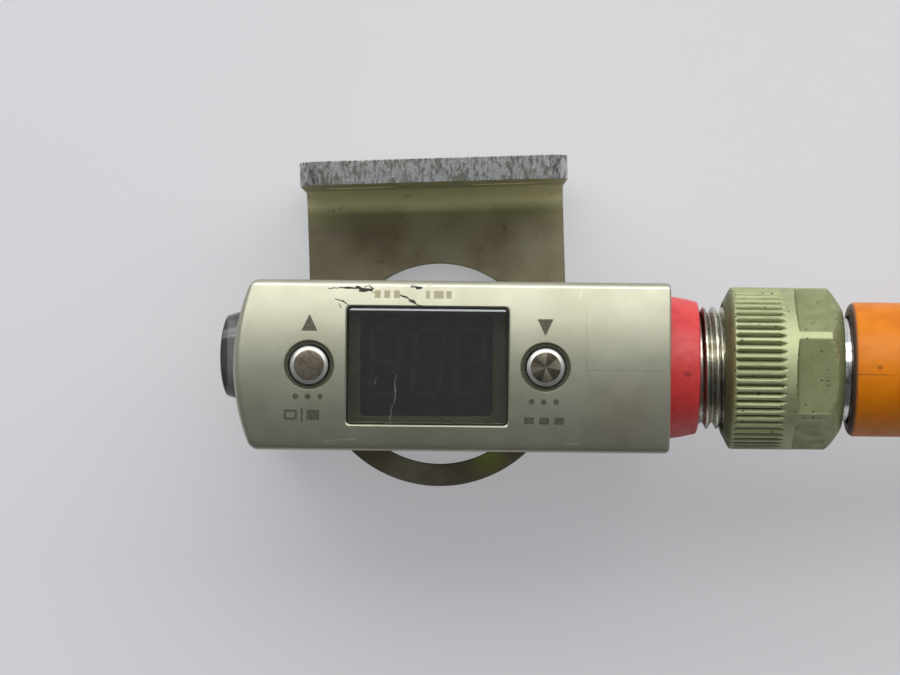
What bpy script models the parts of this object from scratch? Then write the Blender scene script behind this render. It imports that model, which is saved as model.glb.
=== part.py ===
"""A laser photoelectric sensor on its mounting bracket, with the cordset plug screwed on.

The sensor's length runs along X, the display face looks up (+Z) and the beam leaves through
the bracket's opening (-Z). Sizes are in metres. Positions are counted from the centre of the
bracket's opening, on the underside of its base, and one empty carries the whole part so that
the world's origin is the bottom centre of the part's bounding box.
"""

import math

import bmesh
import bpy
from mathutils import Matrix, Vector

# Clearances
SEAT_GAP = 0.0003
FINE_GAP = 0.0002

# Bracket
PLATE_THICKNESS = 0.0023
PLATE_SCREW_EDGE = 0.00275
BASE_REACH = 0.01245
BEND_RADIUS = 0.0023
LEG_OUTER_Y = 0.0200
LEG_HEIGHT = 0.0233
LEG_CORNER_RADIUS = 0.0028
OPENING_RADIUS = 0.01025
LAND_WIDTH = 0.0055
BRACKET_YAW = math.radians(2.3)
LEG_SLOT_EDGE = 0.0015
LEG_SLOT_WIDTH = 0.0034
LEG_SLOT_LENGTH = 0.0080
LEG_SLOT_Z = 0.0130
BRACKET_SCREW_WINDOW_GAP = 0.00325
BRACKET_SCREW_RADIUS = 0.00125
BRACKET_SCREW_HEAD_RADIUS = 0.00225
BRACKET_SCREW_LENGTH = 0.0065
BRACKET_HEAD_SINK = 0.0002
SCREW_TIP_CHAMFER = 0.0002
SCREW_SOCKET_SHARE = 0.65

# Housing and beam cover
HOUSING_LEFT_X = -0.0193
HOUSING_SIDE_MARGIN = 0.00205
HOUSING_DEPTH = 0.0318
FACE_CROWN_RADIUS = 0.0270
END_CROWN_RADIUS = 0.0200
LEFT_CORNER_RADIUS = 0.0010
RIGHT_CORNER_RADIUS = 0.0005
EDGE_RADIUS = 0.0006
END_EDGE_ROUND = 0.0004
SIDE_WALL = 0.0014
FACE_WALL = 0.0024
LEFT_WALL = 0.0024
RIGHT_WALL = 0.0016
CAVITY_CORNER_RADIUS = 0.0010
COVER_THICKNESS = 0.0030
SPIGOT_HEIGHT = 0.0020
REBATE_WIDTH = 0.0007
REBATE_DEPTH = 0.0009
COVER_SCREW_INSET_LEFT = 0.0042
COVER_SCREW_INSET_RIGHT = 0.0034
COVER_SCREW_INSET_SIDE = 0.0032
COVER_SCREW_RADIUS = 0.0010
COVER_SCREW_HEAD_RADIUS = 0.0019
COVER_SCREW_LENGTH = 0.0069
BOSS_RADIUS = 0.0022
BOSS_HEIGHT = 0.0018

# Beam window and optics
BEAM_WINDOW_LENGTH = 0.0140
BEAM_WINDOW_SIDE_GAP = 0.0011
BEAM_WINDOW_THICKNESS = 0.0015
BEAM_WINDOW_CORNER_RADIUS = 0.0010
BEAM_LEDGE_WIDTH = 0.0008
BEAM_LEDGE_THICKNESS = 0.0016
OPTICS_LASER_MARGIN = 0.0052
OPTICS_BASELINE = 0.0088
OPTICS_RECEIVER_MARGIN = 0.0060
OPTICS_HEADROOM = 0.0071
OPTICS_LEFT_GAP = 0.0069
OPTICS_BOARD_GAP = 0.0004
LASER_CAN_RADIUS = 0.00235
LASER_CAN_LENGTH = 0.0035
LASER_FLANGE_RADIUS = 0.0028
LASER_FLANGE_THICKNESS = 0.0012
COLLIMATOR_RADIUS = 0.0025
COLLIMATOR_THICKNESS = 0.0012
RECEIVER_LENS_RADIUS = 0.0037
RECEIVER_LENS_THICKNESS = 0.0018
LENS_BULGE = 0.0008
LENS_LEDGE_WIDTH = 0.0004
RECEIVER_BOARD_LENGTH = 0.0096
IMAGE_SENSOR_LENGTH = 0.0046
IMAGE_SENSOR_WIDTH = 0.0036
IMAGE_SENSOR_THICKNESS = 0.0010

# Boards
BOARD_THICKNESS = 0.0010
DISPLAY_BOARD_THICKNESS = 0.0012
DISPLAY_BOARD_LEFT_GAP = 0.0020
DISPLAY_BOARD_RIGHT_GAP = 0.0061
MAIN_BOARD_WALL_GAP = 0.0007
MAIN_BOARD_LEFT_GAP = 0.0049
MAIN_BOARD_RIGHT_GAP = 0.0038
MAIN_BOARD_BOTTOM_GAP = 0.0021
CHIP_LENGTH = 0.0060
CHIP_HEIGHT = 0.0060
CHIP_THICKNESS = 0.0007
CHIP_OPTICS_GAP = 0.0002
CHIP_LINK_GAP = 0.0030
CHIP_RIGHT_GAP = 0.0039
LINK_LENGTH = 0.0080
LINK_WIDTH = 0.0014
LINK_HEIGHT = 0.0024
LINK_X = 0.0070

# Display window and display
WINDOW_X = -0.0011
WINDOW_LENGTH = 0.0152
WINDOW_SIDE_GAP = 0.00105
WINDOW_CORNER_RADIUS = 0.00045
WINDOW_RECESS = 0.0001
WINDOW_FLANGE_WIDTH = 0.0007
WINDOW_FLANGE_THICKNESS = 0.0006
WINDOW_GASKET_THICKNESS = 0.0006
DISPLAY_INSET_X = 0.0012
DISPLAY_INSET_Y = 0.00075
DISPLAY_THICKNESS = 0.0015

# Buttons
UP_BUTTON_X = -0.01217
DOWN_BUTTON_X = 0.00997
BUTTON_PLACES = (("up", UP_BUTTON_X), ("down", DOWN_BUTTON_X))
BUTTON_RADIUS = 0.001775
BUTTON_TOP_RADIUS = 0.00145
BUTTON_STAND = 0.0003
BUTTON_CHAMFER = 0.0002
BUTTON_FLANGE_RADIUS = 0.0023
BUTTON_FLANGE_THICKNESS = 0.0006
BUTTON_TRAVEL = 0.0004
BUTTON_WELL_RADIUS = 0.0023
BUTTON_WELL_DEPTH = 0.0005
BUTTON_SEAL_SECTION = 0.00028
BUTTON_SEAL_GROOVE_BASE = 0.0007
SWITCH_SIZE = 0.0042
SWITCH_PLUNGER_RADIUS = 0.0008
SWITCH_PLUNGER_HEIGHT = 0.0004

# Status indicator
INDICATOR_SIDE_GAP = 0.0021
INDICATOR_OFFSET_Y = 0.00075
INDICATOR_TOP_GAP = 0.0085
INDICATOR_BOTTOM_GAP = 0.0050
INDICATOR_FRONT_TAPER = 0.00065
INDICATOR_STAND = 0.0017
INDICATOR_BULGE = 0.0005
INDICATOR_CORNER_RADIUS = 0.0030
INDICATOR_SHOULDER = 0.0009
INDICATOR_FLANGE_WIDTH = 0.00075
INDICATOR_FLANGE_THICKNESS = 0.0008
INDICATOR_GASKET_THICKNESS = 0.0005
INDICATOR_BOARD_WALL_GAP = 0.0012
INDICATOR_BOARD_TOP_GAP = 0.0007
INDICATOR_BOARD_BOTTOM_GAP = 0.0025
INDICATOR_BOARD_GAP = 0.0036
LED_SIZE = 0.0030
LED_THICKNESS = 0.0010

# Connector on the sensor
CONNECTOR_AXIS_Z = 0.0184
SLEEVE_FLANGE_SIDE_GAP = 0.0005
SLEEVE_FLANGE_THICKNESS = 0.0007
SLEEVE_SEAL_THICKNESS = 0.0004
SLEEVE_WALL = 0.00105
THREAD_RADIUS = 0.00595
THREAD_PITCH = 0.0010
THREAD_DEPTH = 0.0006
THREAD_TURNS = 8
THREAD_CREST = 0.00012
THREAD_ROOT_SHARE = 0.46
THREAD_RIDGE_SINK = 0.00015
SLEEVE_THREAD_LENGTH = 0.0088
KEY_WIDTH = 0.0008
KEY_DEPTH = 0.0004
KEY_LENGTH = 0.0060
COLOUR_RING_LENGTH = 0.0031
COLOUR_RING_STAND_LEFT = 0.00105
COLOUR_RING_STAND_RIGHT = 0.0004
INSERT_FACE_DEPTH = 0.0070
PIN_RADIUS = 0.0005
PIN_CIRCLE_RADIUS = 0.00235
PIN_STAND = 0.0060
CONNECTOR_BOARD_INSET = 0.00035

# Plug and coupling nut
NUT_LENGTH = 0.0116
NUT_WALL = 0.00195
NUT_LEFT_CHAMFER_X = 0.0008
NUT_LEFT_CHAMFER_R = 0.0016
NUT_RIGHT_CHAMFER_X = 0.00145
NUT_RIGHT_CHAMFER_R = 0.00195
NUT_THREAD_CLEARANCE = 0.00015
NUT_SHOULDER_LENGTH = 0.0026
NUT_FLATS_WALL = 0.00105
NUT_FLATS_LENGTH = 0.0046
NUT_FLAT_WIDTH_SHARE = 0.56
NUT_TURN = math.radians(5.3)
KNURL_COUNT = 60
KNURL_DEPTH = 0.00034
KNURL_START = 0.0011
KNURL_LENGTH = 0.00495
BARREL_WALL = 0.0006
BARREL_THREAD_INSET = 0.00095
BARREL_FLANGE_THICKNESS = 0.0009
BARREL_LENGTH = 0.0087
BARREL_RUNNING_GAP = 0.00015
PLUG_SEAL_THICKNESS = 0.0005
PLUG_SEAL_WIDTH = 0.0009
CARRIER_LENGTH = 0.0135
SOCKET_RADIUS = 0.00085
SOCKET_LENGTH = 0.0147
SOCKET_DEPTH = 0.0072
SOCKET_RUNNING_GAP = 0.0001
GRIP_LENGTH = 0.0266
GRIP_WALL = 0.00155
GRIP_SHOULDER = 0.0007
GRIP_TAPER_LENGTH = 0.0080
GRIP_END_RADIUS = 0.0043
GRIP_END_ROUND = 0.0005
GRIP_STAND = 0.0007
CABLE_ENTRY_RADIUS = 0.0024
CABLE_ENTRY_DEPTH = 0.0050

# Sizes that follow from what they fit, with their named clearances
BRACKET_SCREW_SPACING = BEAM_WINDOW_LENGTH + 2 * BRACKET_SCREW_WINDOW_GAP
PLATE_WIDTH = BRACKET_SCREW_SPACING + 2 * PLATE_SCREW_EDGE
OPENING_FLAT_X = PLATE_WIDTH / 2 - LAND_WIDTH
LEG_SLOT_SPACING = PLATE_WIDTH - LEG_SLOT_LENGTH - 2 * LEG_SLOT_EDGE
HOUSING_WIDTH = 2 * (THREAD_RADIUS + HOUSING_SIDE_MARGIN)
OPTICS_LENGTH = OPTICS_LASER_MARGIN + OPTICS_BASELINE + OPTICS_RECEIVER_MARGIN
CAVITY_LENGTH = OPTICS_LEFT_GAP + OPTICS_LENGTH + CHIP_OPTICS_GAP + CHIP_LENGTH + CHIP_RIGHT_GAP
HOUSING_LENGTH = LEFT_WALL + CAVITY_LENGTH + RIGHT_WALL
CAVITY_HALF_WIDTH = HOUSING_WIDTH / 2 - SIDE_WALL
WINDOW_WIDTH = 2 * (CAVITY_HALF_WIDTH - WINDOW_SIDE_GAP)
DISPLAY_LENGTH = WINDOW_LENGTH - 2 * DISPLAY_INSET_X
DISPLAY_WIDTH = WINDOW_WIDTH - 2 * DISPLAY_INSET_Y
BEAM_WINDOW_WIDTH = 2 * (CAVITY_HALF_WIDTH - BEAM_WINDOW_SIDE_GAP)
INDICATOR_WIDTH = 2 * (CAVITY_HALF_WIDTH - INDICATOR_SIDE_GAP)
INDICATOR_FRONT_WIDTH = INDICATOR_WIDTH - 2 * INDICATOR_FRONT_TAPER
SLEEVE_CORE_RADIUS = THREAD_RADIUS - THREAD_DEPTH
SLEEVE_BORE_RADIUS = SLEEVE_CORE_RADIUS - SLEEVE_WALL
SLEEVE_FLANGE_RADIUS = CAVITY_HALF_WIDTH - SLEEVE_FLANGE_SIDE_GAP
CONNECTOR_BOARD_RADIUS = SLEEVE_CORE_RADIUS - CONNECTOR_BOARD_INSET
COLOUR_RING_RADIUS_LEFT = THREAD_RADIUS + COLOUR_RING_STAND_LEFT
COLOUR_RING_RADIUS_RIGHT = THREAD_RADIUS + COLOUR_RING_STAND_RIGHT
NUT_BORE_RADIUS = THREAD_RADIUS + NUT_THREAD_CLEARANCE
NUT_RADIUS = THREAD_RADIUS + NUT_WALL
NUT_FLATS = 2 * (THREAD_RADIUS + NUT_FLATS_WALL)
CARRIER_RADIUS = SLEEVE_BORE_RADIUS - FINE_GAP
BARREL_RADIUS = THREAD_RADIUS - BARREL_THREAD_INSET
BARREL_BORE_RADIUS = BARREL_RADIUS - BARREL_WALL
BARREL_FLANGE_RADIUS = NUT_BORE_RADIUS - SEAT_GAP
GRIP_RADIUS = BARREL_RADIUS + GRIP_WALL

# Levels and stations worked out from the driving dimensions
COVER_BOTTOM_Z = PLATE_THICKNESS + SEAT_GAP
COVER_TOP_Z = COVER_BOTTOM_Z + COVER_THICKNESS
RIM_Z = COVER_TOP_Z + SEAT_GAP
SPIGOT_TOP_Z = COVER_TOP_Z + SPIGOT_HEIGHT
INSIDE_BOTTOM_Z = SPIGOT_TOP_Z + SEAT_GAP
FACE_Z = COVER_BOTTOM_Z + HOUSING_DEPTH
CEILING_Z = FACE_Z - FACE_WALL
HOUSING_RIGHT_X = HOUSING_LEFT_X + HOUSING_LENGTH
CAVITY_LEFT_X = HOUSING_LEFT_X + LEFT_WALL
CAVITY_RIGHT_X = HOUSING_RIGHT_X - RIGHT_WALL
COVER_SCREW_LEFT_X = HOUSING_LEFT_X + COVER_SCREW_INSET_LEFT
COVER_SCREW_RIGHT_X = HOUSING_RIGHT_X - COVER_SCREW_INSET_RIGHT
COVER_SCREW_Y = HOUSING_WIDTH / 2 - COVER_SCREW_INSET_SIDE

WINDOW_EDGE_DROP = FACE_CROWN_RADIUS - math.sqrt(FACE_CROWN_RADIUS**2 - (WINDOW_WIDTH / 2) ** 2)
WINDOW_TOP_Z = FACE_Z - WINDOW_EDGE_DROP - WINDOW_RECESS
WINDOW_GASKET_TOP_Z = CEILING_Z - FINE_GAP
WINDOW_FLANGE_TOP_Z = WINDOW_GASKET_TOP_Z - WINDOW_GASKET_THICKNESS - FINE_GAP
WINDOW_BOTTOM_Z = WINDOW_FLANGE_TOP_Z - WINDOW_FLANGE_THICKNESS
DISPLAY_TOP_Z = WINDOW_BOTTOM_Z - SEAT_GAP
DISPLAY_BOTTOM_Z = DISPLAY_TOP_Z - DISPLAY_THICKNESS
DISPLAY_BOARD_TOP_Z = DISPLAY_BOTTOM_Z - SEAT_GAP
DISPLAY_BOARD_BOTTOM_Z = DISPLAY_BOARD_TOP_Z - DISPLAY_BOARD_THICKNESS
DISPLAY_BOARD_LEFT_X = CAVITY_LEFT_X + DISPLAY_BOARD_LEFT_GAP
DISPLAY_BOARD_RIGHT_X = CAVITY_RIGHT_X - DISPLAY_BOARD_RIGHT_GAP
BUTTON_FLANGE_TOP_Z = CEILING_Z - SEAT_GAP
BUTTON_BOTTOM_Z = BUTTON_FLANGE_TOP_Z - BUTTON_FLANGE_THICKNESS
SWITCH_TOP_Z = BUTTON_BOTTOM_Z - BUTTON_TRAVEL - FINE_GAP

OPTICS_LEFT_X = CAVITY_LEFT_X + OPTICS_LEFT_GAP
LASER_X = OPTICS_LEFT_X + OPTICS_LASER_MARGIN
RECEIVER_X = LASER_X + OPTICS_BASELINE
OPTICS_LOW_Y = -CAVITY_HALF_WIDTH + SEAT_GAP
OPTICS_BOTTOM_Z = INSIDE_BOTTOM_Z
OPTICS_TOP_Z = DISPLAY_BOARD_BOTTOM_Z - OPTICS_HEADROOM
MAIN_BOARD_OUTER_Y = CAVITY_HALF_WIDTH - MAIN_BOARD_WALL_GAP
MAIN_BOARD_INNER_Y = MAIN_BOARD_OUTER_Y - BOARD_THICKNESS
OPTICS_WIDTH = MAIN_BOARD_INNER_Y - OPTICS_BOARD_GAP - OPTICS_LOW_Y
OPTICS_Y = OPTICS_LOW_Y + OPTICS_WIDTH / 2
MAIN_BOARD_LEFT_X = CAVITY_LEFT_X + MAIN_BOARD_LEFT_GAP
MAIN_BOARD_RIGHT_X = CAVITY_RIGHT_X - MAIN_BOARD_RIGHT_GAP
MAIN_BOARD_BOTTOM_Z = INSIDE_BOTTOM_Z + MAIN_BOARD_BOTTOM_GAP
MAIN_BOARD_TOP_Z = DISPLAY_BOARD_BOTTOM_Z - SEAT_GAP
LINK_TOP_Z = DISPLAY_BOARD_BOTTOM_Z - SEAT_GAP
CHIP_LEFT_X = OPTICS_LEFT_X + OPTICS_LENGTH + CHIP_OPTICS_GAP
CHIP_TOP_Z = LINK_TOP_Z - LINK_HEIGHT - CHIP_LINK_GAP

INDICATOR_TOP_Z = FACE_Z - INDICATOR_TOP_GAP
INDICATOR_BOTTOM_Z = RIM_Z + INDICATOR_BOTTOM_GAP
INDICATOR_Z = (INDICATOR_TOP_Z + INDICATOR_BOTTOM_Z) / 2
INDICATOR_HEIGHT = INDICATOR_TOP_Z - INDICATOR_BOTTOM_Z
INDICATOR_FRONT_X = HOUSING_LEFT_X - INDICATOR_STAND
INDICATOR_GASKET_LEFT_X = CAVITY_LEFT_X + FINE_GAP
INDICATOR_FLANGE_LEFT_X = INDICATOR_GASKET_LEFT_X + INDICATOR_GASKET_THICKNESS + FINE_GAP
INDICATOR_FLANGE_RIGHT_X = INDICATOR_FLANGE_LEFT_X + INDICATOR_FLANGE_THICKNESS
INDICATOR_BOARD_LEFT_X = CAVITY_LEFT_X + INDICATOR_BOARD_GAP

SLEEVE_SEAL_RIGHT_X = CAVITY_RIGHT_X - FINE_GAP
SLEEVE_FLANGE_RIGHT_X = SLEEVE_SEAL_RIGHT_X - SLEEVE_SEAL_THICKNESS - FINE_GAP
SLEEVE_LEFT_X = SLEEVE_FLANGE_RIGHT_X - SLEEVE_FLANGE_THICKNESS
COLOUR_RING_LEFT_X = HOUSING_RIGHT_X + SEAT_GAP
COLOUR_RING_RIGHT_X = COLOUR_RING_LEFT_X + COLOUR_RING_LENGTH
THREAD_START_X = COLOUR_RING_RIGHT_X + SEAT_GAP
SLEEVE_END_X = THREAD_START_X + SLEEVE_THREAD_LENGTH
INSERT_FACE_X = SLEEVE_END_X - INSERT_FACE_DEPTH
PIN_END_X = INSERT_FACE_X + PIN_STAND
CONNECTOR_BOARD_RIGHT_X = SLEEVE_LEFT_X - SEAT_GAP
CONNECTOR_BOARD_LEFT_X = CONNECTOR_BOARD_RIGHT_X - BOARD_THICKNESS

CARRIER_LEFT_X = INSERT_FACE_X + SEAT_GAP
SOCKET_LEFT_X = CARRIER_LEFT_X + SEAT_GAP
PLUG_SEAL_LEFT_X = SLEEVE_END_X + SEAT_GAP
BARREL_LEFT_X = PLUG_SEAL_LEFT_X + PLUG_SEAL_THICKNESS + SEAT_GAP
BARREL_FLANGE_RIGHT_X = BARREL_LEFT_X + BARREL_FLANGE_THICKNESS
BARREL_RIGHT_X = BARREL_LEFT_X + BARREL_LENGTH
NUT_SHOULDER_X = BARREL_FLANGE_RIGHT_X + SEAT_GAP
NUT_RIGHT_X = NUT_SHOULDER_X + NUT_SHOULDER_LENGTH
NUT_LEFT_X = NUT_RIGHT_X - NUT_LENGTH
GRIP_LEFT_X = NUT_RIGHT_X + GRIP_STAND
GRIP_RIGHT_X = GRIP_LEFT_X + GRIP_LENGTH

# Facets, directions and modelling tolerances
ROUND_STEPS = 28
SLEEVE_STEPS = 24
SMALL_STEPS = 16
SCREW_STEPS = 12
PIN_STEPS = 10
SEAL_RING_STEPS = 6
HEX = 6
ARC_STEPS = 6
CORNER_STEPS = 4
CROWN_STEPS = 12
END_CROWN_STEPS = 13
LENS_FRONT_STEPS = 8
SLOT_END_STEPS = 8
BRACKET_END_STEPS = 28
BRACKET_OPENING_STEPS = 12
ALONG_X = (0.0, math.pi / 2, 0.0)
ALONG_Y = (-math.pi / 2, 0.0, 0.0)
CUT_OVERRUN = 0.0010
OUTLINE_TRIM = 0.00002
WELD_DISTANCE = 0.00001
SMOOTH_ANGLE = math.radians(35)
END_EDGE_ANGLE = math.radians(60)


def material(name, colour, roughness, metallic=0.0):
    made = bpy.data.materials.new(name)
    made.use_nodes = True
    shader = made.node_tree.nodes["Principled BSDF"]
    shader.inputs["Base Color"].default_value = (*colour, 1.0)
    shader.inputs["Roughness"].default_value = roughness
    shader.inputs["Metallic"].default_value = metallic
    return made


def new_collection(name):
    made = bpy.data.collections.new(name)
    bpy.context.scene.collection.children.link(made)
    return made


def new_empty(name, parent=None, location=(0.0, 0.0, 0.0)):
    made = bpy.data.objects.new(name, None)
    PARTS.objects.link(made)
    made.parent = parent
    made.location = location
    return made


def arc(centre, radius, start, end, steps=ARC_STEPS):
    turns = [start + (end - start) * step / steps for step in range(steps + 1)]
    return [
        (centre[0] + radius * math.cos(turn), centre[1] + radius * math.sin(turn))
        for turn in turns
    ]


def circle(radius, centre=(0.0, 0.0), steps=SMALL_STEPS):
    return arc(centre, radius, 0.0, 2 * math.pi, steps)[:-1]


def rounded_rectangle(length, width, radius, centre=(0.0, 0.0)):
    outline = []
    for corner, (side_x, side_y) in enumerate(((1, 1), (-1, 1), (-1, -1), (1, -1))):
        middle_x = centre[0] + side_x * (length / 2 - radius)
        middle_y = centre[1] + side_y * (width / 2 - radius)
        start = corner * math.pi / 2
        outline += arc((middle_x, middle_y), radius, start, start + math.pi / 2, CORNER_STEPS)
    return outline


def slot(length, width):
    """A slot along the second axis, with full round ends."""
    reach = (length - width) / 2
    upper = arc((0.0, reach), width / 2, 0.0, math.pi, SLOT_END_STEPS)
    lower = arc((0.0, -reach), width / 2, math.pi, 2 * math.pi, SLOT_END_STEPS)
    return upper + lower


def plan_outline():
    """The housing from above: a crowned left end and four small round corners."""
    half = HOUSING_WIDTH / 2 - LEFT_CORNER_RADIUS
    right_half = HOUSING_WIDTH / 2 - RIGHT_CORNER_RADIUS
    right = HOUSING_RIGHT_X - RIGHT_CORNER_RADIUS
    crown_x = HOUSING_LEFT_X + END_CROWN_RADIUS
    reach = math.sqrt((END_CROWN_RADIUS - LEFT_CORNER_RADIUS) ** 2 - half**2)
    left = crown_x - reach
    turn = math.atan2(half, reach)
    crown_turns = (math.pi - turn, math.pi + turn)
    crown = arc((crown_x, 0.0), END_CROWN_RADIUS, *crown_turns, END_CROWN_STEPS)
    return (
        arc((right, -right_half), RIGHT_CORNER_RADIUS, -math.pi / 2, 0.0, CORNER_STEPS)
        + arc((right, right_half), RIGHT_CORNER_RADIUS, 0.0, math.pi / 2, CORNER_STEPS)
        + arc((left, half), LEFT_CORNER_RADIUS, math.pi / 2, math.pi - turn, CORNER_STEPS)
        + crown[1:-1]
        + arc((left, -half), LEFT_CORNER_RADIUS, math.pi + turn, 3 * math.pi / 2, CORNER_STEPS)
    )


def cavity_outline(grow=0.0):
    """The housing's inner wall from above, moved outward by grow."""
    length = CAVITY_RIGHT_X - CAVITY_LEFT_X + 2 * grow
    width = 2 * (CAVITY_HALF_WIDTH + grow)
    middle = (CAVITY_LEFT_X + CAVITY_RIGHT_X) / 2
    return rounded_rectangle(length, width, CAVITY_CORNER_RADIUS + grow, (middle, 0.0))


def crowned_section(bottom_z):
    """The housing across its length as (y, z) points: a crowned top with round edges."""
    half = HOUSING_WIDTH / 2 - EDGE_RADIUS
    crown_z = FACE_Z - FACE_CROWN_RADIUS
    rise = math.sqrt((FACE_CROWN_RADIUS - EDGE_RADIUS) ** 2 - half**2)
    turn = math.atan2(rise, half)
    edge_z = crown_z + rise
    return (
        arc((half, edge_z), EDGE_RADIUS, 0.0, turn, CORNER_STEPS)
        + arc((0.0, crown_z), FACE_CROWN_RADIUS, turn, math.pi - turn, CROWN_STEPS)[1:-1]
        + arc((-half, edge_z), EDGE_RADIUS, math.pi - turn, math.pi, CORNER_STEPS)
        + [(-HOUSING_WIDTH / 2, bottom_z), (HOUSING_WIDTH / 2, bottom_z)]
    )


def facing_x(outline):
    """Turns (y, z) points into the local points of a plate whose normal is laid along +X."""
    return [(-z, y) for y, z in outline]


def mesh_from(made, name, smooth_angle=None):
    mesh = bpy.data.meshes.new(name)
    made.to_mesh(mesh)
    made.free()
    if smooth_angle is not None:
        mesh.shade_smooth()
        mesh.set_sharp_from_angle(angle=smooth_angle)
    return mesh


def plate_mesh(name, outlines, thickness):
    """A flat outline, with any further outlines as holes, as thick as asked about z = 0."""
    curve = bpy.data.curves.new(name, "CURVE")
    curve.dimensions = "2D"
    curve.fill_mode = "BOTH"
    curve.extrude = thickness / 2
    for outline in outlines:
        spline = curve.splines.new("POLY")
        spline.points.add(len(outline) - 1)
        for point, (x, y) in zip(spline.points, outline):
            point.co = (x, y, 0.0, 1.0)
        spline.use_cyclic_u = True
    flat = bpy.data.objects.new(name, curve)
    bpy.context.scene.collection.objects.link(flat)
    evaluated = flat.evaluated_get(bpy.context.evaluated_depsgraph_get())
    raw = bpy.data.meshes.new_from_object(evaluated)
    bpy.data.objects.remove(flat)
    bpy.data.curves.remove(curve)
    welded = bmesh.new()
    welded.from_mesh(raw)
    bmesh.ops.remove_doubles(welded, verts=welded.verts, dist=WELD_DISTANCE)
    bmesh.ops.recalc_face_normals(welded, faces=welded.faces)
    bpy.data.meshes.remove(raw)
    return mesh_from(welded, name, SMOOTH_ANGLE)


def box_mesh(name, size):
    made = bmesh.new()
    bmesh.ops.create_cube(made, size=1.0, matrix=Matrix.Diagonal((*size, 1.0)))
    return mesh_from(made, name)


def profile_mesh(name, profile, closed):
    """A profile of (station, radius) points, ready to be turned about the local Z axis."""
    made = bmesh.new()
    points = [made.verts.new((radius, 0.0, station)) for station, radius in profile]
    for first, second in zip(points, points[1:]):
        made.edges.new((first, second))
    if closed:
        made.edges.new((points[-1], points[0]))
    return mesh_from(made, name)


def add_part(name, mesh, finish, parent, location=(0.0, 0.0, 0.0), rotation=(0.0, 0.0, 0.0)):
    made = bpy.data.objects.new(name, mesh)
    made.data.materials.append(finish)
    PARTS.objects.link(made)
    made.parent = parent
    made.location = location
    made.rotation_euler = rotation
    return made


def add_cutter(name, mesh, parent, location=(0.0, 0.0, 0.0), rotation=(0.0, 0.0, 0.0)):
    made = bpy.data.objects.new(name, mesh)
    CUTTERS.objects.link(made)
    made.parent = parent
    made.location = location
    made.rotation_euler = rotation
    made.hide_render = True
    made.display_type = "WIRE"
    return made


def turn(obj, steps=ROUND_STEPS):
    screw = obj.modifiers.new("turned", "SCREW")
    screw.axis = "Z"
    screw.steps = steps
    screw.render_steps = steps
    screw.use_merge_vertices = True
    screw.merge_threshold = WELD_DISTANCE
    screw.use_smooth_shade = True
    return obj


def join(obj, tool, operation="DIFFERENCE"):
    modifier = obj.modifiers.new(tool.name, "BOOLEAN")
    modifier.operation = operation
    modifier.object = tool
    return obj


def extent(low, high):
    """Thickness and middle of a plate that lies between two stations."""
    return high - low, (low + high) / 2


def level_plate(name, outlines, low_z, high_z, finish, parent):
    thickness, middle = extent(low_z, high_z)
    return add_part(name, plate_mesh(name, outlines, thickness), finish, parent, (0.0, 0.0, middle))


def level_cutter(name, outlines, low_z, high_z, parent):
    thickness, middle = extent(low_z, high_z)
    return add_cutter(name, plate_mesh(name, outlines, thickness), parent, (0.0, 0.0, middle))


def cross_plate(name, outlines, low_x, high_x, finish, parent, z=0.0):
    thickness, middle = extent(low_x, high_x)
    mesh = plate_mesh(name, outlines, thickness)
    return add_part(name, mesh, finish, parent, (middle, 0.0, z), ALONG_X)


def cross_cutter(name, outlines, low_x, high_x, parent, z=0.0):
    thickness, middle = extent(low_x, high_x)
    mesh = plate_mesh(name, outlines, thickness)
    return add_cutter(name, mesh, parent, (middle, 0.0, z), ALONG_X)


def box_part(name, low, high, finish, parent):
    size = [b - a for a, b in zip(low, high)]
    middle = [(a + b) / 2 for a, b in zip(low, high)]
    return add_part(name, box_mesh(name, size), finish, parent, middle)


def turned_upright(name, profile, finish, parent, x, y, steps=SMALL_STEPS, closed=False):
    mesh = profile_mesh(name, profile, closed)
    return turn(add_part(name, mesh, finish, parent, (x, y, 0.0)), steps)


def turned_upright_cutter(name, profile, parent, x, y, steps=SMALL_STEPS):
    mesh = profile_mesh(name, profile, closed=False)
    return turn(add_cutter(name, mesh, parent, (x, y, 0.0)), steps)


def turned_along(name, profile, finish, parent, steps=ROUND_STEPS, closed=False, y=0.0, z=0.0):
    mesh = profile_mesh(name, profile, closed)
    location = (0.0, y, CONNECTOR_AXIS_Z + z)
    return turn(add_part(name, mesh, finish, parent, location, ALONG_X), steps)


def turned_along_cutter(name, profile, parent, steps=SMALL_STEPS, y=0.0, z=0.0):
    mesh = profile_mesh(name, profile, closed=False)
    location = (0.0, y, CONNECTOR_AXIS_Z + z)
    return turn(add_cutter(name, mesh, parent, location, ALONG_X), steps)


def rod(low, high, radius):
    """The profile of a plain round bar between two stations."""
    return [(high, 0.0), (high, radius), (low, radius), (low, 0.0)]


def tube(low, high, bore, radius):
    return [(high, bore), (high, radius), (low, radius), (low, bore)]


def opening_outline():
    """A round opening with its two sides cut straight, where the screws' lands are."""
    turn = math.acos(OPENING_FLAT_X / OPENING_RADIUS)
    upper_turns = (turn, math.pi - turn)
    lower_turns = (math.pi + turn, 2 * math.pi - turn)
    upper = arc((0.0, 0.0), OPENING_RADIUS, *upper_turns, BRACKET_OPENING_STEPS)
    lower = arc((0.0, 0.0), OPENING_RADIUS, *lower_turns, BRACKET_OPENING_STEPS)
    return upper + lower


def countersunk(low_z, length, shank, head, grow=0.0):
    """A countersunk screw with its head down, or its hole where grow is the clearance."""
    cone = head - shank
    return [
        (low_z + length + grow, 0.0),
        (low_z + length + grow, shank + grow),
        (low_z + cone, shank + grow),
        (low_z, head + grow),
        (low_z - grow, head + grow),
        (low_z - grow, 0.0),
    ]


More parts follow.
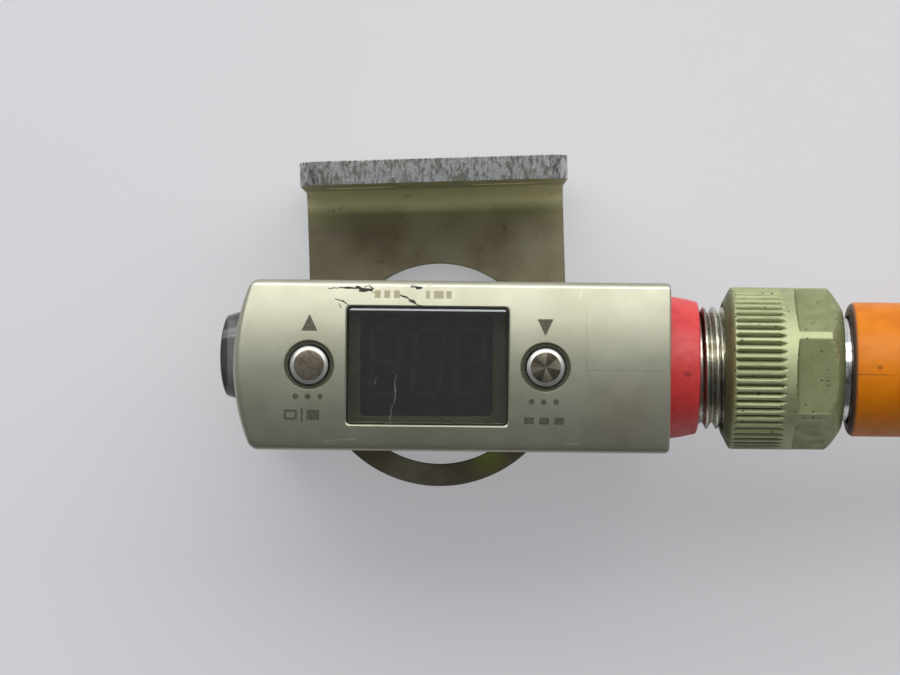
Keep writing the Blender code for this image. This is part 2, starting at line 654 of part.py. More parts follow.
def countersunk_screw(name, low_z, length, shank, head, finish, parent, x, y):
    cone = head - shank
    profile = [
        (low_z + length, 0.0),
        (low_z + length, shank - SCREW_TIP_CHAMFER),
        (low_z + length - SCREW_TIP_CHAMFER, shank),
        (low_z + cone, shank),
        (low_z, head),
        (low_z, 0.0),
    ]
    screw = turned_upright(name, profile, finish, parent, x, y, SCREW_STEPS)
    socket = add_cutter(
        name + "_socket",
        plate_mesh(name + "_socket", [circle(shank * SCREW_SOCKET_SHARE, steps=HEX)], 2 * cone),
        parent,
        (x, y, low_z),
    )
    return join(screw, socket)


def bracket(finish, root):
    """One bent plate: a base with a round end and an opening, and a leg with two slots."""
    frame = new_empty("bracket_frame", root)
    frame.rotation_euler = (0.0, 0.0, BRACKET_YAW)
    outer_bend = BEND_RADIUS + PLATE_THICKNESS
    bend = (LEG_OUTER_Y - outer_bend, outer_bend)
    leg_inner_y = LEG_OUTER_Y - PLATE_THICKNESS
    base_end_y = -BASE_REACH - CUT_OVERRUN
    section = (
        [(base_end_y, 0.0)]
        + arc(bend, outer_bend, -math.pi / 2, 0.0)
        + [(LEG_OUTER_Y, LEG_HEIGHT), (leg_inner_y, LEG_HEIGHT)]
        + arc(bend, BEND_RADIUS, 0.0, -math.pi / 2)
        + [(base_end_y, PLATE_THICKNESS)]
    )
    made = cross_plate(
        "bracket",
        [facing_x(section)],
        -PLATE_WIDTH / 2 - CUT_OVERRUN,
        PLATE_WIDTH / 2 + CUT_OVERRUN,
        finish,
        frame,
    )

    half = PLATE_WIDTH / 2
    round_end = arc((0.0, half - BASE_REACH), half, math.pi, 2 * math.pi, BRACKET_END_STEPS)
    plan = round_end + [(half, LEG_OUTER_Y + CUT_OVERRUN), (-half, LEG_OUTER_Y + CUT_OVERRUN)]
    top = LEG_HEIGHT + CUT_OVERRUN
    join(made, level_cutter("bracket_plan", [plan], -CUT_OVERRUN, top, frame), "INTERSECT")
    join(made, level_cutter("bracket_opening", [opening_outline()], -CUT_OVERRUN, outer_bend, frame))

    slots = slot(LEG_SLOT_LENGTH, LEG_SLOT_WIDTH)
    corner_x = half - LEG_CORNER_RADIUS
    corner_z = LEG_HEIGHT - LEG_CORNER_RADIUS
    for side, word in ((-1, "left"), (1, "right")):
        mesh = plate_mesh("leg_slot_" + word, [slots], 2 * PLATE_THICKNESS)
        place = (side * LEG_SLOT_SPACING / 2, LEG_OUTER_Y, LEG_SLOT_Z)
        join(made, add_cutter("leg_slot_" + word, mesh, frame, place, ALONG_Y))

        corner = arc((corner_x, -corner_z), LEG_CORNER_RADIUS, 0.0, -math.pi / 2)
        corner += [(corner_x, -top), (half + CUT_OVERRUN, -top), (half + CUT_OVERRUN, -corner_z)]
        mesh = plate_mesh("leg_corner_" + word, [[(side * x, y) for x, y in corner]], 2 * PLATE_THICKNESS)
        join(made, add_cutter("leg_corner_" + word, mesh, frame, (0.0, LEG_OUTER_Y, 0.0), ALONG_Y))

        hole = countersunk(
            BRACKET_HEAD_SINK,
            PLATE_THICKNESS + CUT_OVERRUN,
            BRACKET_SCREW_RADIUS,
            BRACKET_SCREW_HEAD_RADIUS,
            SEAT_GAP,
        )
        place_x = side * BRACKET_SCREW_SPACING / 2
        name = "bracket_hole_" + word
        join(made, turned_upright_cutter(name, hole, frame, place_x, 0.0, SCREW_STEPS))
    return frame


def bracket_screws(finish, frame):
    for side, word in ((-1, "left"), (1, "right")):
        countersunk_screw(
            "bracket_screw_" + word,
            BRACKET_HEAD_SINK,
            BRACKET_SCREW_LENGTH,
            BRACKET_SCREW_RADIUS,
            BRACKET_SCREW_HEAD_RADIUS,
            finish,
            frame,
            side * BRACKET_SCREW_SPACING / 2,
            0.0,
        )


def cover_screw_places():
    return [
        (x, side * COVER_SCREW_Y)
        for x in (COVER_SCREW_LEFT_X, COVER_SCREW_RIGHT_X)
        for side in (-1, 1)
    ]


def beam_cover(finish, root, bracket_frame):
    """The cover that closes the housing at the beam side, with a spigot inside the wall."""
    made = level_plate("beam_cover", [plan_outline()], COVER_BOTTOM_Z, COVER_TOP_Z, finish, root)
    overlap_z = COVER_TOP_Z - SEAT_GAP
    spigot = level_cutter("cover_spigot", [cavity_outline(-SEAT_GAP)], overlap_z, SPIGOT_TOP_Z, root)
    join(made, spigot, "UNION")

    aperture = rounded_rectangle(
        BEAM_WINDOW_LENGTH - 2 * BEAM_LEDGE_WIDTH,
        BEAM_WINDOW_WIDTH - 2 * BEAM_LEDGE_WIDTH,
        BEAM_WINDOW_CORNER_RADIUS,
    )
    rebate = rounded_rectangle(
        BEAM_WINDOW_LENGTH + 2 * SEAT_GAP,
        BEAM_WINDOW_WIDTH + 2 * SEAT_GAP,
        BEAM_WINDOW_CORNER_RADIUS + SEAT_GAP,
    )
    low = COVER_BOTTOM_Z - CUT_OVERRUN
    high = SPIGOT_TOP_Z + CUT_OVERRUN
    join(made, level_cutter("beam_aperture", [aperture], low, high, root))
    ledge_z = COVER_BOTTOM_Z + BEAM_LEDGE_THICKNESS
    join(made, level_cutter("beam_window_seat", [rebate], ledge_z, high, root))

    for number, (x, y) in enumerate(cover_screw_places(), 1):
        hole = countersunk(
            COVER_BOTTOM_Z,
            COVER_SCREW_LENGTH,
            COVER_SCREW_RADIUS,
            COVER_SCREW_HEAD_RADIUS,
            FINE_GAP,
        )
        join(made, turned_upright_cutter(f"cover_hole_{number}", hole, root, x, y, SCREW_STEPS))
    for side, word in ((-1, "left"), (1, "right")):
        radius = BRACKET_SCREW_RADIUS + FINE_GAP
        depth_z = BRACKET_HEAD_SINK + BRACKET_SCREW_LENGTH + SEAT_GAP
        tapped = rod(low, depth_z, radius)
        place_x = side * BRACKET_SCREW_SPACING / 2
        name = "tapped_hole_" + word
        hole = turned_upright_cutter(name, tapped, bracket_frame, place_x, 0.0, SCREW_STEPS)
        join(made, hole)


def cover_gasket(finish, root):
    outer = cavity_outline(REBATE_WIDTH - FINE_GAP)
    inner = cavity_outline(FINE_GAP - SEAT_GAP)
    low = COVER_TOP_Z + FINE_GAP
    high = RIM_Z + REBATE_DEPTH - FINE_GAP
    level_plate("cover_gasket", [outer, inner], low, high, finish, root)


def cover_screws(finish, root):
    for number, (x, y) in enumerate(cover_screw_places(), 1):
        countersunk_screw(
            f"cover_screw_{number}",
            COVER_BOTTOM_Z,
            COVER_SCREW_LENGTH,
            COVER_SCREW_RADIUS,
            COVER_SCREW_HEAD_RADIUS,
            finish,
            root,
            x,
            y,
        )


def beam_window(finish, root):
    low = COVER_BOTTOM_Z + BEAM_LEDGE_THICKNESS + SEAT_GAP
    outline = rounded_rectangle(BEAM_WINDOW_LENGTH, BEAM_WINDOW_WIDTH, BEAM_WINDOW_CORNER_RADIUS)
    level_plate("beam_window", [outline], low, low + BEAM_WINDOW_THICKNESS, finish, root)


def window_outline(grow=0.0):
    return rounded_rectangle(
        WINDOW_LENGTH + 2 * grow,
        WINDOW_WIDTH + 2 * grow,
        max(WINDOW_CORNER_RADIUS + grow, FINE_GAP),
        (WINDOW_X, 0.0),
    )


def indicator_outline(grow=0.0):
    """The indicator's outline seen along X, as local points of a plate laid across X."""
    height = INDICATOR_HEIGHT + 2 * grow
    width = INDICATOR_WIDTH + 2 * grow
    centre = (0.0, INDICATOR_OFFSET_Y)
    return rounded_rectangle(height, width, INDICATOR_CORNER_RADIUS + grow, centre)


def seal_radius():
    """The middle of a button's sealing ring, just clear of the button's stem."""
    return BUTTON_RADIUS + FINE_GAP + BUTTON_SEAL_SECTION


def button_bore():
    """The well, the guide and the sealing ring's groove that a button takes in the face."""
    guide = BUTTON_RADIUS + FINE_GAP
    groove = seal_radius() + BUTTON_SEAL_SECTION + FINE_GAP
    groove_low = CEILING_Z + BUTTON_SEAL_GROOVE_BASE
    groove_high = groove_low + 2 * (BUTTON_SEAL_SECTION + FINE_GAP)
    return [
        (FACE_Z + CUT_OVERRUN, 0.0),
        (FACE_Z + CUT_OVERRUN, BUTTON_WELL_RADIUS),
        (FACE_Z - BUTTON_WELL_DEPTH, BUTTON_WELL_RADIUS),
        (FACE_Z - BUTTON_WELL_DEPTH, guide),
        (groove_high, guide),
        (groove_high, groove),
        (groove_low, groove),
        (groove_low, guide),
        (CEILING_Z - CUT_OVERRUN, guide),
        (CEILING_Z - CUT_OVERRUN, 0.0),
    ]


def housing(finish, root):
    """A die-cast tub, open at the beam side: a crowned bar trimmed to its outline and hollowed."""
    section = facing_x(crowned_section(RIM_Z))
    left = HOUSING_LEFT_X - CUT_OVERRUN
    right = HOUSING_RIGHT_X + CUT_OVERRUN
    made = cross_plate("housing", [section], left, right, finish, root)
    low = RIM_Z - CUT_OVERRUN
    high = FACE_Z + CUT_OVERRUN
    join(made, level_cutter("housing_plan", [plan_outline()], low, high, root), "INTERSECT")

    rounding = made.modifiers.new("edge_rounding", "BEVEL")
    rounding.width = END_EDGE_ROUND
    rounding.segments = 1
    rounding.limit_method = "ANGLE"
    rounding.angle_limit = END_EDGE_ANGLE

    join(made, level_cutter("cavity", [cavity_outline()], low, CEILING_Z, root))
    rebate = level_cutter("gasket_rebate", [cavity_outline(REBATE_WIDTH)], low, RIM_Z + REBATE_DEPTH, root)
    join(made, rebate)
    for number, (x, y) in enumerate(cover_screw_places(), 1):
        outline = circle(BOSS_RADIUS)
        thickness, middle = extent(INSIDE_BOTTOM_Z, INSIDE_BOTTOM_Z + BOSS_HEIGHT)
        mesh = plate_mesh(f"boss_{number}", [outline], thickness)
        join(made, add_cutter(f"boss_{number}", mesh, root, (x, y, middle)), "UNION")
        hole = rod(low, INSIDE_BOTTOM_Z + BOSS_HEIGHT + CUT_OVERRUN, COVER_SCREW_RADIUS + FINE_GAP)
        join(made, turned_upright_cutter(f"boss_hole_{number}", hole, root, x, y, SCREW_STEPS))

    join(made, level_cutter("window_hole", [window_outline()], CEILING_Z - CUT_OVERRUN, high, root))
    for word, x in BUTTON_PLACES:
        join(made, turned_upright_cutter(word + "_button_bore", button_bore(), root, x, 0.0))
    indicator_hole = cross_cutter(
        "indicator_hole",
        [indicator_outline(FINE_GAP)],
        left,
        CAVITY_LEFT_X + CUT_OVERRUN,
        root,
        INDICATOR_Z,
    )
    join(made, indicator_hole)
    sleeve_hole = rod(CAVITY_RIGHT_X - CUT_OVERRUN, right, SLEEVE_CORE_RADIUS + SEAT_GAP)
    join(made, turned_along_cutter("sleeve_hole", sleeve_hole, root, ROUND_STEPS))


def display_window(finish, root):
    """A clear plate, polished flat, that stands on a flange and fills its hole in the face."""
    flange = [window_outline(WINDOW_FLANGE_WIDTH)]
    made = level_plate("display_window", flange, WINDOW_BOTTOM_Z, WINDOW_FLANGE_TOP_Z, finish, root)
    plug_low = (WINDOW_BOTTOM_Z + WINDOW_FLANGE_TOP_Z) / 2
    outline = [window_outline(-FINE_GAP)]
    join(made, level_cutter("window_plug", outline, plug_low, WINDOW_TOP_Z, root), "UNION")


def window_gasket(finish, root):
    outlines = [window_outline(WINDOW_FLANGE_WIDTH), window_outline()]
    low = WINDOW_GASKET_TOP_Z - WINDOW_GASKET_THICKNESS
    level_plate("window_gasket", outlines, low, WINDOW_GASKET_TOP_Z, finish, root)


def display_module(finish, root):
    outline = rounded_rectangle(DISPLAY_LENGTH, DISPLAY_WIDTH, WINDOW_CORNER_RADIUS, (WINDOW_X, 0.0))
    level_plate("display_module", [outline], DISPLAY_BOTTOM_Z, DISPLAY_TOP_Z, finish, root)


def display_board(finish, root):
    half = CAVITY_HALF_WIDTH - SEAT_GAP
    low = (DISPLAY_BOARD_LEFT_X, -half, DISPLAY_BOARD_BOTTOM_Z)
    high = (DISPLAY_BOARD_RIGHT_X, half, DISPLAY_BOARD_TOP_Z)
    box_part("display_board", low, high, finish, root)


def button_switch(word, x, finish, root):
    """A short-travel switch: a square body with a round plunger under the button."""
    half = SWITCH_SIZE / 2
    body_top = SWITCH_TOP_Z - SWITCH_PLUNGER_HEIGHT
    low = (x - half, -half, DISPLAY_BOARD_TOP_Z + SEAT_GAP)
    made = box_part(word + "_switch", low, (x + half, half, body_top), finish, root)
    profile = rod(body_top - SEAT_GAP, SWITCH_TOP_Z, SWITCH_PLUNGER_RADIUS)
    join(made, turned_upright_cutter(word + "_plunger", profile, root, x, 0.0), "UNION")


def button_seal(word, x, finish, root):
    middle_z = CEILING_Z + BUTTON_SEAL_GROOVE_BASE + BUTTON_SEAL_SECTION + FINE_GAP
    ring = circle(BUTTON_SEAL_SECTION, (middle_z, seal_radius()), SEAL_RING_STEPS)
    turned_upright(word + "_button_seal", ring, finish, root, x, 0.0, closed=True)


def button(word, x, finish, root):
    """A turned key with a chamfered top; its origin is on the line that it travels along."""
    top = FACE_Z + BUTTON_STAND
    profile = [
        (top, 0.0),
        (top, BUTTON_TOP_RADIUS),
        (top - BUTTON_CHAMFER, BUTTON_RADIUS),
        (BUTTON_FLANGE_TOP_Z, BUTTON_RADIUS),
        (BUTTON_FLANGE_TOP_Z, BUTTON_FLANGE_RADIUS),
        (BUTTON_BOTTOM_Z, BUTTON_FLANGE_RADIUS),
        (BUTTON_BOTTOM_Z, 0.0),
    ]
    turned_upright(word + "_button", profile, finish, root, x, 0.0, ROUND_STEPS)


def indicator_lens(finish, root):
    """A moulded lens: a flange inside the wall and a tapered nose with a bulged front."""
    flange = [indicator_outline(INDICATOR_FLANGE_WIDTH)]
    made = cross_plate(
        "indicator_lens",
        flange,
        INDICATOR_FLANGE_LEFT_X,
        INDICATOR_FLANGE_RIGHT_X,
        finish,
        root,
        INDICATOR_Z,
    )
    nose_right = (INDICATOR_FLANGE_LEFT_X + INDICATOR_FLANGE_RIGHT_X) / 2
    high_y = INDICATOR_OFFSET_Y + INDICATOR_WIDTH / 2
    low_y = INDICATOR_OFFSET_Y - INDICATOR_WIDTH / 2
    front_half = INDICATOR_FRONT_WIDTH / 2
    bulge = (front_half**2 + INDICATOR_BULGE**2) / (2 * INDICATOR_BULGE)
    turn = math.asin(front_half / bulge)
    turns = (math.pi - turn, math.pi + turn)
    front = arc((INDICATOR_FRONT_X + bulge, INDICATOR_OFFSET_Y), bulge, *turns, LENS_FRONT_STEPS)
    shoulder_x = HOUSING_LEFT_X + INDICATOR_SHOULDER
    upper = [(nose_right, high_y), (shoulder_x, high_y)]
    lower = [(shoulder_x, low_y), (nose_right, low_y)]
    low = INDICATOR_BOTTOM_Z - CUT_OVERRUN
    high = INDICATOR_TOP_Z + CUT_OVERRUN
    nose = level_cutter("indicator_nose", [upper + front + lower], low, high, root)
    elevation = cross_cutter(
        "indicator_elevation",
        [indicator_outline(-OUTLINE_TRIM)],
        INDICATOR_FRONT_X - CUT_OVERRUN,
        nose_right + CUT_OVERRUN,
        root,
        INDICATOR_Z,
    )
    join(nose, elevation, "INTERSECT")
    join(made, nose, "UNION")


def indicator_gasket(finish, root):
    outlines = [indicator_outline(INDICATOR_FLANGE_WIDTH), indicator_outline(FINE_GAP)]
    left = INDICATOR_GASKET_LEFT_X
    right = left + INDICATOR_GASKET_THICKNESS
    cross_plate("indicator_gasket", outlines, left, right, finish, root, INDICATOR_Z)


def indicator_board(board_finish, led_finish, root):
    left = INDICATOR_BOARD_LEFT_X
    low_y = -CAVITY_HALF_WIDTH + INDICATOR_BOARD_WALL_GAP
    high_y = MAIN_BOARD_INNER_Y - SEAT_GAP
    low = (left, low_y, INSIDE_BOTTOM_Z + INDICATOR_BOARD_BOTTOM_GAP)
    high = (left + BOARD_THICKNESS, high_y, DISPLAY_BOARD_BOTTOM_Z - INDICATOR_BOARD_TOP_GAP)
    box_part("indicator_board", low, high, board_finish, root)
    led_right = left - FINE_GAP
    half_led = LED_SIZE / 2
    low = (led_right - LED_THICKNESS, INDICATOR_OFFSET_Y - half_led, INDICATOR_Z - half_led)
    high = (led_right, INDICATOR_OFFSET_Y + half_led, INDICATOR_Z + half_led)
    box_part("indicator_led", low, high, led_finish, root)


def main_board(finish, root):
    low = (MAIN_BOARD_LEFT_X, MAIN_BOARD_INNER_Y, MAIN_BOARD_BOTTOM_Z)
    high = (MAIN_BOARD_RIGHT_X, MAIN_BOARD_OUTER_Y, MAIN_BOARD_TOP_Z)
    box_part("main_board", low, high, finish, root)


def processor_chip(finish, root):
    outer_y = MAIN_BOARD_INNER_Y - FINE_GAP
    low = (CHIP_LEFT_X, outer_y - CHIP_THICKNESS, CHIP_TOP_Z - CHIP_HEIGHT)
    box_part("processor_chip", low, (CHIP_LEFT_X + CHIP_LENGTH, outer_y, CHIP_TOP_Z), finish, root)


def board_link(finish, root):
    outer_y = MAIN_BOARD_INNER_Y - FINE_GAP
    half = LINK_LENGTH / 2
    low = (LINK_X - half, outer_y - LINK_WIDTH, LINK_TOP_Z - LINK_HEIGHT)
    box_part("board_link", low, (LINK_X + half, outer_y, LINK_TOP_Z), finish, root)


def lens_seat_depth(thickness):
    return thickness + 2 * SEAT_GAP


def lens_bores(bottom, thickness, radius, top_bore, top_depth):
    """A lens seat from below, an aperture over it and the device's bore from above."""
    seat = radius + FINE_GAP
    seat_top = bottom + lens_seat_depth(thickness)
    aperture = radius - LENS_LEDGE_WIDTH
    return [
        (OPTICS_TOP_Z + CUT_OVERRUN, 0.0),
        (OPTICS_TOP_Z + CUT_OVERRUN, top_bore),
        (OPTICS_TOP_Z - top_depth, top_bore),
        (OPTICS_TOP_Z - top_depth, aperture),
        (seat_top, aperture),
        (seat_top, seat),
        (bottom - CUT_OVERRUN, seat),
        (bottom - CUT_OVERRUN, 0.0),
    ]


def optics_block(finish, root):
    """The carrier that holds the laser and the receiver parallel, over their lenses."""
    low = (OPTICS_LEFT_X, OPTICS_LOW_Y, OPTICS_BOTTOM_Z)
    high = (OPTICS_LEFT_X + OPTICS_LENGTH, OPTICS_LOW_Y + OPTICS_WIDTH, OPTICS_TOP_Z)
    made = box_part("optics_block", low, high, finish, root)
    can = LASER_CAN_RADIUS + FINE_GAP
    bores = lens_bores(
        OPTICS_BOTTOM_Z, COLLIMATOR_THICKNESS, COLLIMATOR_RADIUS, can, LASER_CAN_LENGTH + SEAT_GAP
    )
    join(made, turned_upright_cutter("laser_bore", bores, root, LASER_X, OPTICS_Y))
    sensor_bore = RECEIVER_LENS_RADIUS - LENS_LEDGE_WIDTH + FINE_GAP
    sensor_depth = 2 * IMAGE_SENSOR_THICKNESS
    bores = lens_bores(
        OPTICS_BOTTOM_Z, RECEIVER_LENS_THICKNESS, RECEIVER_LENS_RADIUS, sensor_bore, sensor_depth
    )
    join(made, turned_upright_cutter("receiver_bore", bores, root, RECEIVER_X, OPTICS_Y))


def lens(name, x, radius, thickness, finish, root):
    """A flat-bottomed lens with a bulged top."""
    low = OPTICS_BOTTOM_Z + SEAT_GAP
    edge = low + thickness
    bulge = (radius**2 + LENS_BULGE**2) / (2 * LENS_BULGE)
    turn = math.asin(radius / bulge)
    curve = arc((edge + LENS_BULGE - bulge, 0.0), bulge, 0.0, turn)
    turned_upright(name, curve + [(low, radius), (low, 0.0)], finish, root, x, OPTICS_Y)


def laser_diode(finish, root):
    bottom = OPTICS_TOP_Z + SEAT_GAP
    top = bottom + LASER_FLANGE_THICKNESS
    profile = [
        (top, 0.0),
        (top, LASER_FLANGE_RADIUS),
        (bottom, LASER_FLANGE_RADIUS),
        (bottom, LASER_CAN_RADIUS),
        (bottom - LASER_CAN_LENGTH, LASER_CAN_RADIUS),
        (bottom - LASER_CAN_LENGTH, 0.0),
    ]
    turned_upright("laser_diode", profile, finish, root, LASER_X, OPTICS_Y)


def receiver(board_finish, sensor_finish, root):
    bottom = OPTICS_TOP_Z + SEAT_GAP
    half = RECEIVER_BOARD_LENGTH / 2
    half_width = OPTICS_WIDTH / 2 - FINE_GAP
    low = (RECEIVER_X - half, OPTICS_Y - half_width, bottom)
    high = (RECEIVER_X + half, OPTICS_Y + half_width, bottom + BOARD_THICKNESS)
    box_part("receiver_board", low, high, board_finish, root)
    top = bottom - FINE_GAP
    half = IMAGE_SENSOR_LENGTH / 2
    half_width = IMAGE_SENSOR_WIDTH / 2
    low = (RECEIVER_X - half, OPTICS_Y - half_width, top - IMAGE_SENSOR_THICKNESS)
    high = (RECEIVER_X + half, OPTICS_Y + half_width, top)
    box_part("image_sensor", low, high, sensor_finish, root)


def thread_ridge(name, core, crest, start):
    """A right-hand helical ridge about the local Z axis, rooted a little inside the core."""
    half_facet = math.pi / SLEEVE_STEPS
    root_radius = core - THREAD_RIDGE_SINK
    half_root = THREAD_PITCH * THREAD_ROOT_SHARE
    half_crest = THREAD_CREST / 2
    made = bmesh.new()
    section = [
        (root_radius, start - half_root),
        (crest, start - half_crest),
        (crest, start + half_crest),
        (root_radius, start + half_root),
    ]
    corners = [
        made.verts.new((radius * math.cos(half_facet), radius * math.sin(half_facet), z))
        for radius, z in section
    ]
    face = made.faces.new(corners)
    bmesh.ops.spin(
        made,
        geom=[face] + face.edges[:] + face.verts[:],
        axis=(0.0, 0.0, 1.0),
        dvec=(0.0, 0.0, THREAD_PITCH / SLEEVE_STEPS),
        angle=2 * math.pi * THREAD_TURNS,
        steps=THREAD_TURNS * SLEEVE_STEPS,
    )
    open_edges = [edge for edge in made.edges if edge.is_boundary]
    bmesh.ops.holes_fill(made, edges=open_edges)
    bmesh.ops.recalc_face_normals(made, faces=made.faces)
    return mesh_from(made, name)


def connector_sleeve(finish, root):
    """A threaded sleeve with its flange inside the housing and a key rib in its bore."""
    chamfer_r = SLEEVE_CORE_RADIUS - SEAT_GAP
    profile = [
        (SLEEVE_END_X, SLEEVE_BORE_RADIUS),
        (SLEEVE_END_X, chamfer_r),
        (SLEEVE_END_X - SEAT_GAP, SLEEVE_CORE_RADIUS),
        (SLEEVE_FLANGE_RIGHT_X, SLEEVE_CORE_RADIUS),
        (SLEEVE_FLANGE_RIGHT_X, SLEEVE_FLANGE_RADIUS),
        (SLEEVE_LEFT_X, SLEEVE_FLANGE_RADIUS),
        (SLEEVE_LEFT_X, SLEEVE_BORE_RADIUS),
    ]
    made = turned_along("connector_sleeve", profile, finish, root, SLEEVE_STEPS, closed=True)
    start = THREAD_START_X + THREAD_PITCH / 2
    ridge = thread_ridge("thread_ridge", SLEEVE_CORE_RADIUS, THREAD_RADIUS, start)
    ridge_tool = add_cutter("thread_ridge", ridge, root, (0.0, 0.0, CONNECTOR_AXIS_Z), ALONG_X)
    join(made, ridge_tool, "UNION")
    rib_height = KEY_DEPTH + SEAT_GAP
    rib = box_mesh("key_rib", (KEY_LENGTH, KEY_WIDTH, rib_height))
    rib_z = CONNECTOR_AXIS_Z + SLEEVE_BORE_RADIUS + SEAT_GAP - rib_height / 2
    rib_x = INSERT_FACE_X + SEAT_GAP + KEY_LENGTH / 2
    join(made, add_cutter("key_rib", rib, root, (rib_x, 0.0, rib_z)), "UNION")


def sleeve_seal(finish, root):
    low = SLEEVE_SEAL_RIGHT_X - SLEEVE_SEAL_THICKNESS
    profile = tube(low, SLEEVE_SEAL_RIGHT_X, SLEEVE_CORE_RADIUS + FINE_GAP, SLEEVE_FLANGE_RADIUS)
    turned_along("sleeve_seal", profile, finish, root, closed=True)


def colour_ring(finish, root):
    bore = SLEEVE_CORE_RADIUS + FINE_GAP
    profile = [
        (COLOUR_RING_RIGHT_X, bore),
        (COLOUR_RING_RIGHT_X, COLOUR_RING_RADIUS_RIGHT),
        (COLOUR_RING_LEFT_X, COLOUR_RING_RADIUS_LEFT),
        (COLOUR_RING_LEFT_X, bore),
    ]
    turned_along("colour_ring", profile, finish, root, closed=True)


def contact_places():
    """Four contacts on one circle, midway between the key and the sides."""
    turns = [math.pi / 4 + quarter * math.pi / 2 for quarter in range(4)]
    return [(PIN_CIRCLE_RADIUS * math.cos(turn), PIN_CIRCLE_RADIUS * math.sin(turn)) for turn in turns]


def drill_contacts(obj, name, low, high, radius, parent):
    for number, (y, z) in enumerate(contact_places(), 1):
        hole = rod(low - CUT_OVERRUN, high + CUT_OVERRUN, radius)
        join(obj, turned_along_cutter(f"{name}_{number}", hole, parent, PIN_STEPS, y, z))


def connector_insert(finish, root):
    left = SLEEVE_LEFT_X + SEAT_GAP
    profile = rod(left, INSERT_FACE_X, SLEEVE_BORE_RADIUS - FINE_GAP)
    made = turned_along("connector_insert", profile, finish, root)
    drill_contacts(made, "insert_hole", left, INSERT_FACE_X, PIN_RADIUS + FINE_GAP, root)


def connector_board(finish, root):
    profile = rod(CONNECTOR_BOARD_LEFT_X, CONNECTOR_BOARD_RIGHT_X, CONNECTOR_BOARD_RADIUS)
    made = turned_along("connector_board", profile, finish, root)
    left = CONNECTOR_BOARD_LEFT_X
    drill_contacts(made, "board_hole", left, CONNECTOR_BOARD_RIGHT_X, PIN_RADIUS + FINE_GAP, root)


def contact_pins(finish, root):
    left = CONNECTOR_BOARD_LEFT_X - SEAT_GAP
    profile = [
        (PIN_END_X, 0.0),
        (PIN_END_X, PIN_RADIUS / 2),
        (PIN_END_X - PIN_RADIUS, PIN_RADIUS),
        (left, PIN_RADIUS),
        (left, 0.0),
    ]
    for number, (y, z) in enumerate(contact_places(), 1):
        turned_along(f"contact_pin_{number}", profile, finish, root, PIN_STEPS, y=y, z=z)


def plug_carrier(finish, root):
    """The moulded face of the plug, with four contact holes and the keyway."""
    right = CARRIER_LEFT_X + CARRIER_LENGTH
    made = turned_along("plug_carrier", rod(CARRIER_LEFT_X, right, CARRIER_RADIUS), finish, root)
    drill_contacts(made, "carrier_hole", CARRIER_LEFT_X, right, SOCKET_RADIUS + FINE_GAP, root)
    length = KEY_LENGTH + SEAT_GAP + CUT_OVERRUN
    keyway = box_mesh("keyway", (length, KEY_WIDTH + 2 * FINE_GAP, 2 * (KEY_DEPTH + FINE_GAP)))
    keyway_x = CARRIER_LEFT_X - CUT_OVERRUN + length / 2
    keyway_z = CONNECTOR_AXIS_Z + SLEEVE_BORE_RADIUS
    join(made, add_cutter("keyway", keyway, root, (keyway_x, 0.0, keyway_z)))


def socket_contacts(finish, root):
    right = SOCKET_LEFT_X + SOCKET_LENGTH
    bore = PIN_RADIUS + SOCKET_RUNNING_GAP
    blind = SOCKET_LEFT_X + SOCKET_DEPTH
    profile = [
        (right, 0.0),
        (right, SOCKET_RADIUS),
        (SOCKET_LEFT_X, SOCKET_RADIUS),
        (SOCKET_LEFT_X, bore),
        (blind, bore),
        (blind, 0.0),
    ]
    for number, (y, z) in enumerate(contact_places(), 1):
        turned_along(f"socket_contact_{number}", profile, finish, root, PIN_STEPS, y=y, z=z)


def plug_seal(finish, root):
    bore = CARRIER_RADIUS + FINE_GAP
    right = PLUG_SEAL_LEFT_X + PLUG_SEAL_THICKNESS
    profile = tube(PLUG_SEAL_LEFT_X, right, bore, bore + PLUG_SEAL_WIDTH)
    turned_along("plug_seal", profile, finish, root, closed=True)


def plug_barrel(finish, root):
    profile = [
        (BARREL_RIGHT_X, BARREL_BORE_RADIUS),
        (BARREL_RIGHT_X, BARREL_RADIUS),
        (BARREL_FLANGE_RIGHT_X, BARREL_RADIUS),
        (BARREL_FLANGE_RIGHT_X, BARREL_FLANGE_RADIUS),
        (BARREL_LEFT_X, BARREL_FLANGE_RADIUS),
        (BARREL_LEFT_X, BARREL_BORE_RADIUS),
    ]
    turned_along("plug_barrel", profile, finish, root, closed=True)


def plug_grip(finish, root):
    """The moulded grip over the barrel's tail, tapered to a blind cable entry."""
    bore = BARREL_RADIUS + SEAT_GAP
    bore_end = BARREL_RIGHT_X + SEAT_GAP
    entry_x = GRIP_RIGHT_X - CABLE_ENTRY_DEPTH
    shoulder = (GRIP_LEFT_X + GRIP_SHOULDER, GRIP_RADIUS - GRIP_SHOULDER)
    end_round = (GRIP_RIGHT_X - GRIP_END_ROUND, GRIP_END_RADIUS - GRIP_END_ROUND)
    profile = (
        [(entry_x, 0.0), (entry_x, CABLE_ENTRY_RADIUS), (GRIP_RIGHT_X, CABLE_ENTRY_RADIUS)]
        + arc(end_round, GRIP_END_ROUND, 0.0, math.pi / 2, CORNER_STEPS)
        + [(GRIP_RIGHT_X - GRIP_TAPER_LENGTH, GRIP_RADIUS)]
        + arc(shoulder, GRIP_SHOULDER, math.pi / 2, math.pi, CORNER_STEPS)
        + [(GRIP_LEFT_X, bore), (bore_end, bore), (bore_end, 0.0)]
    )
    turned_along("plug_grip", profile, finish, root)


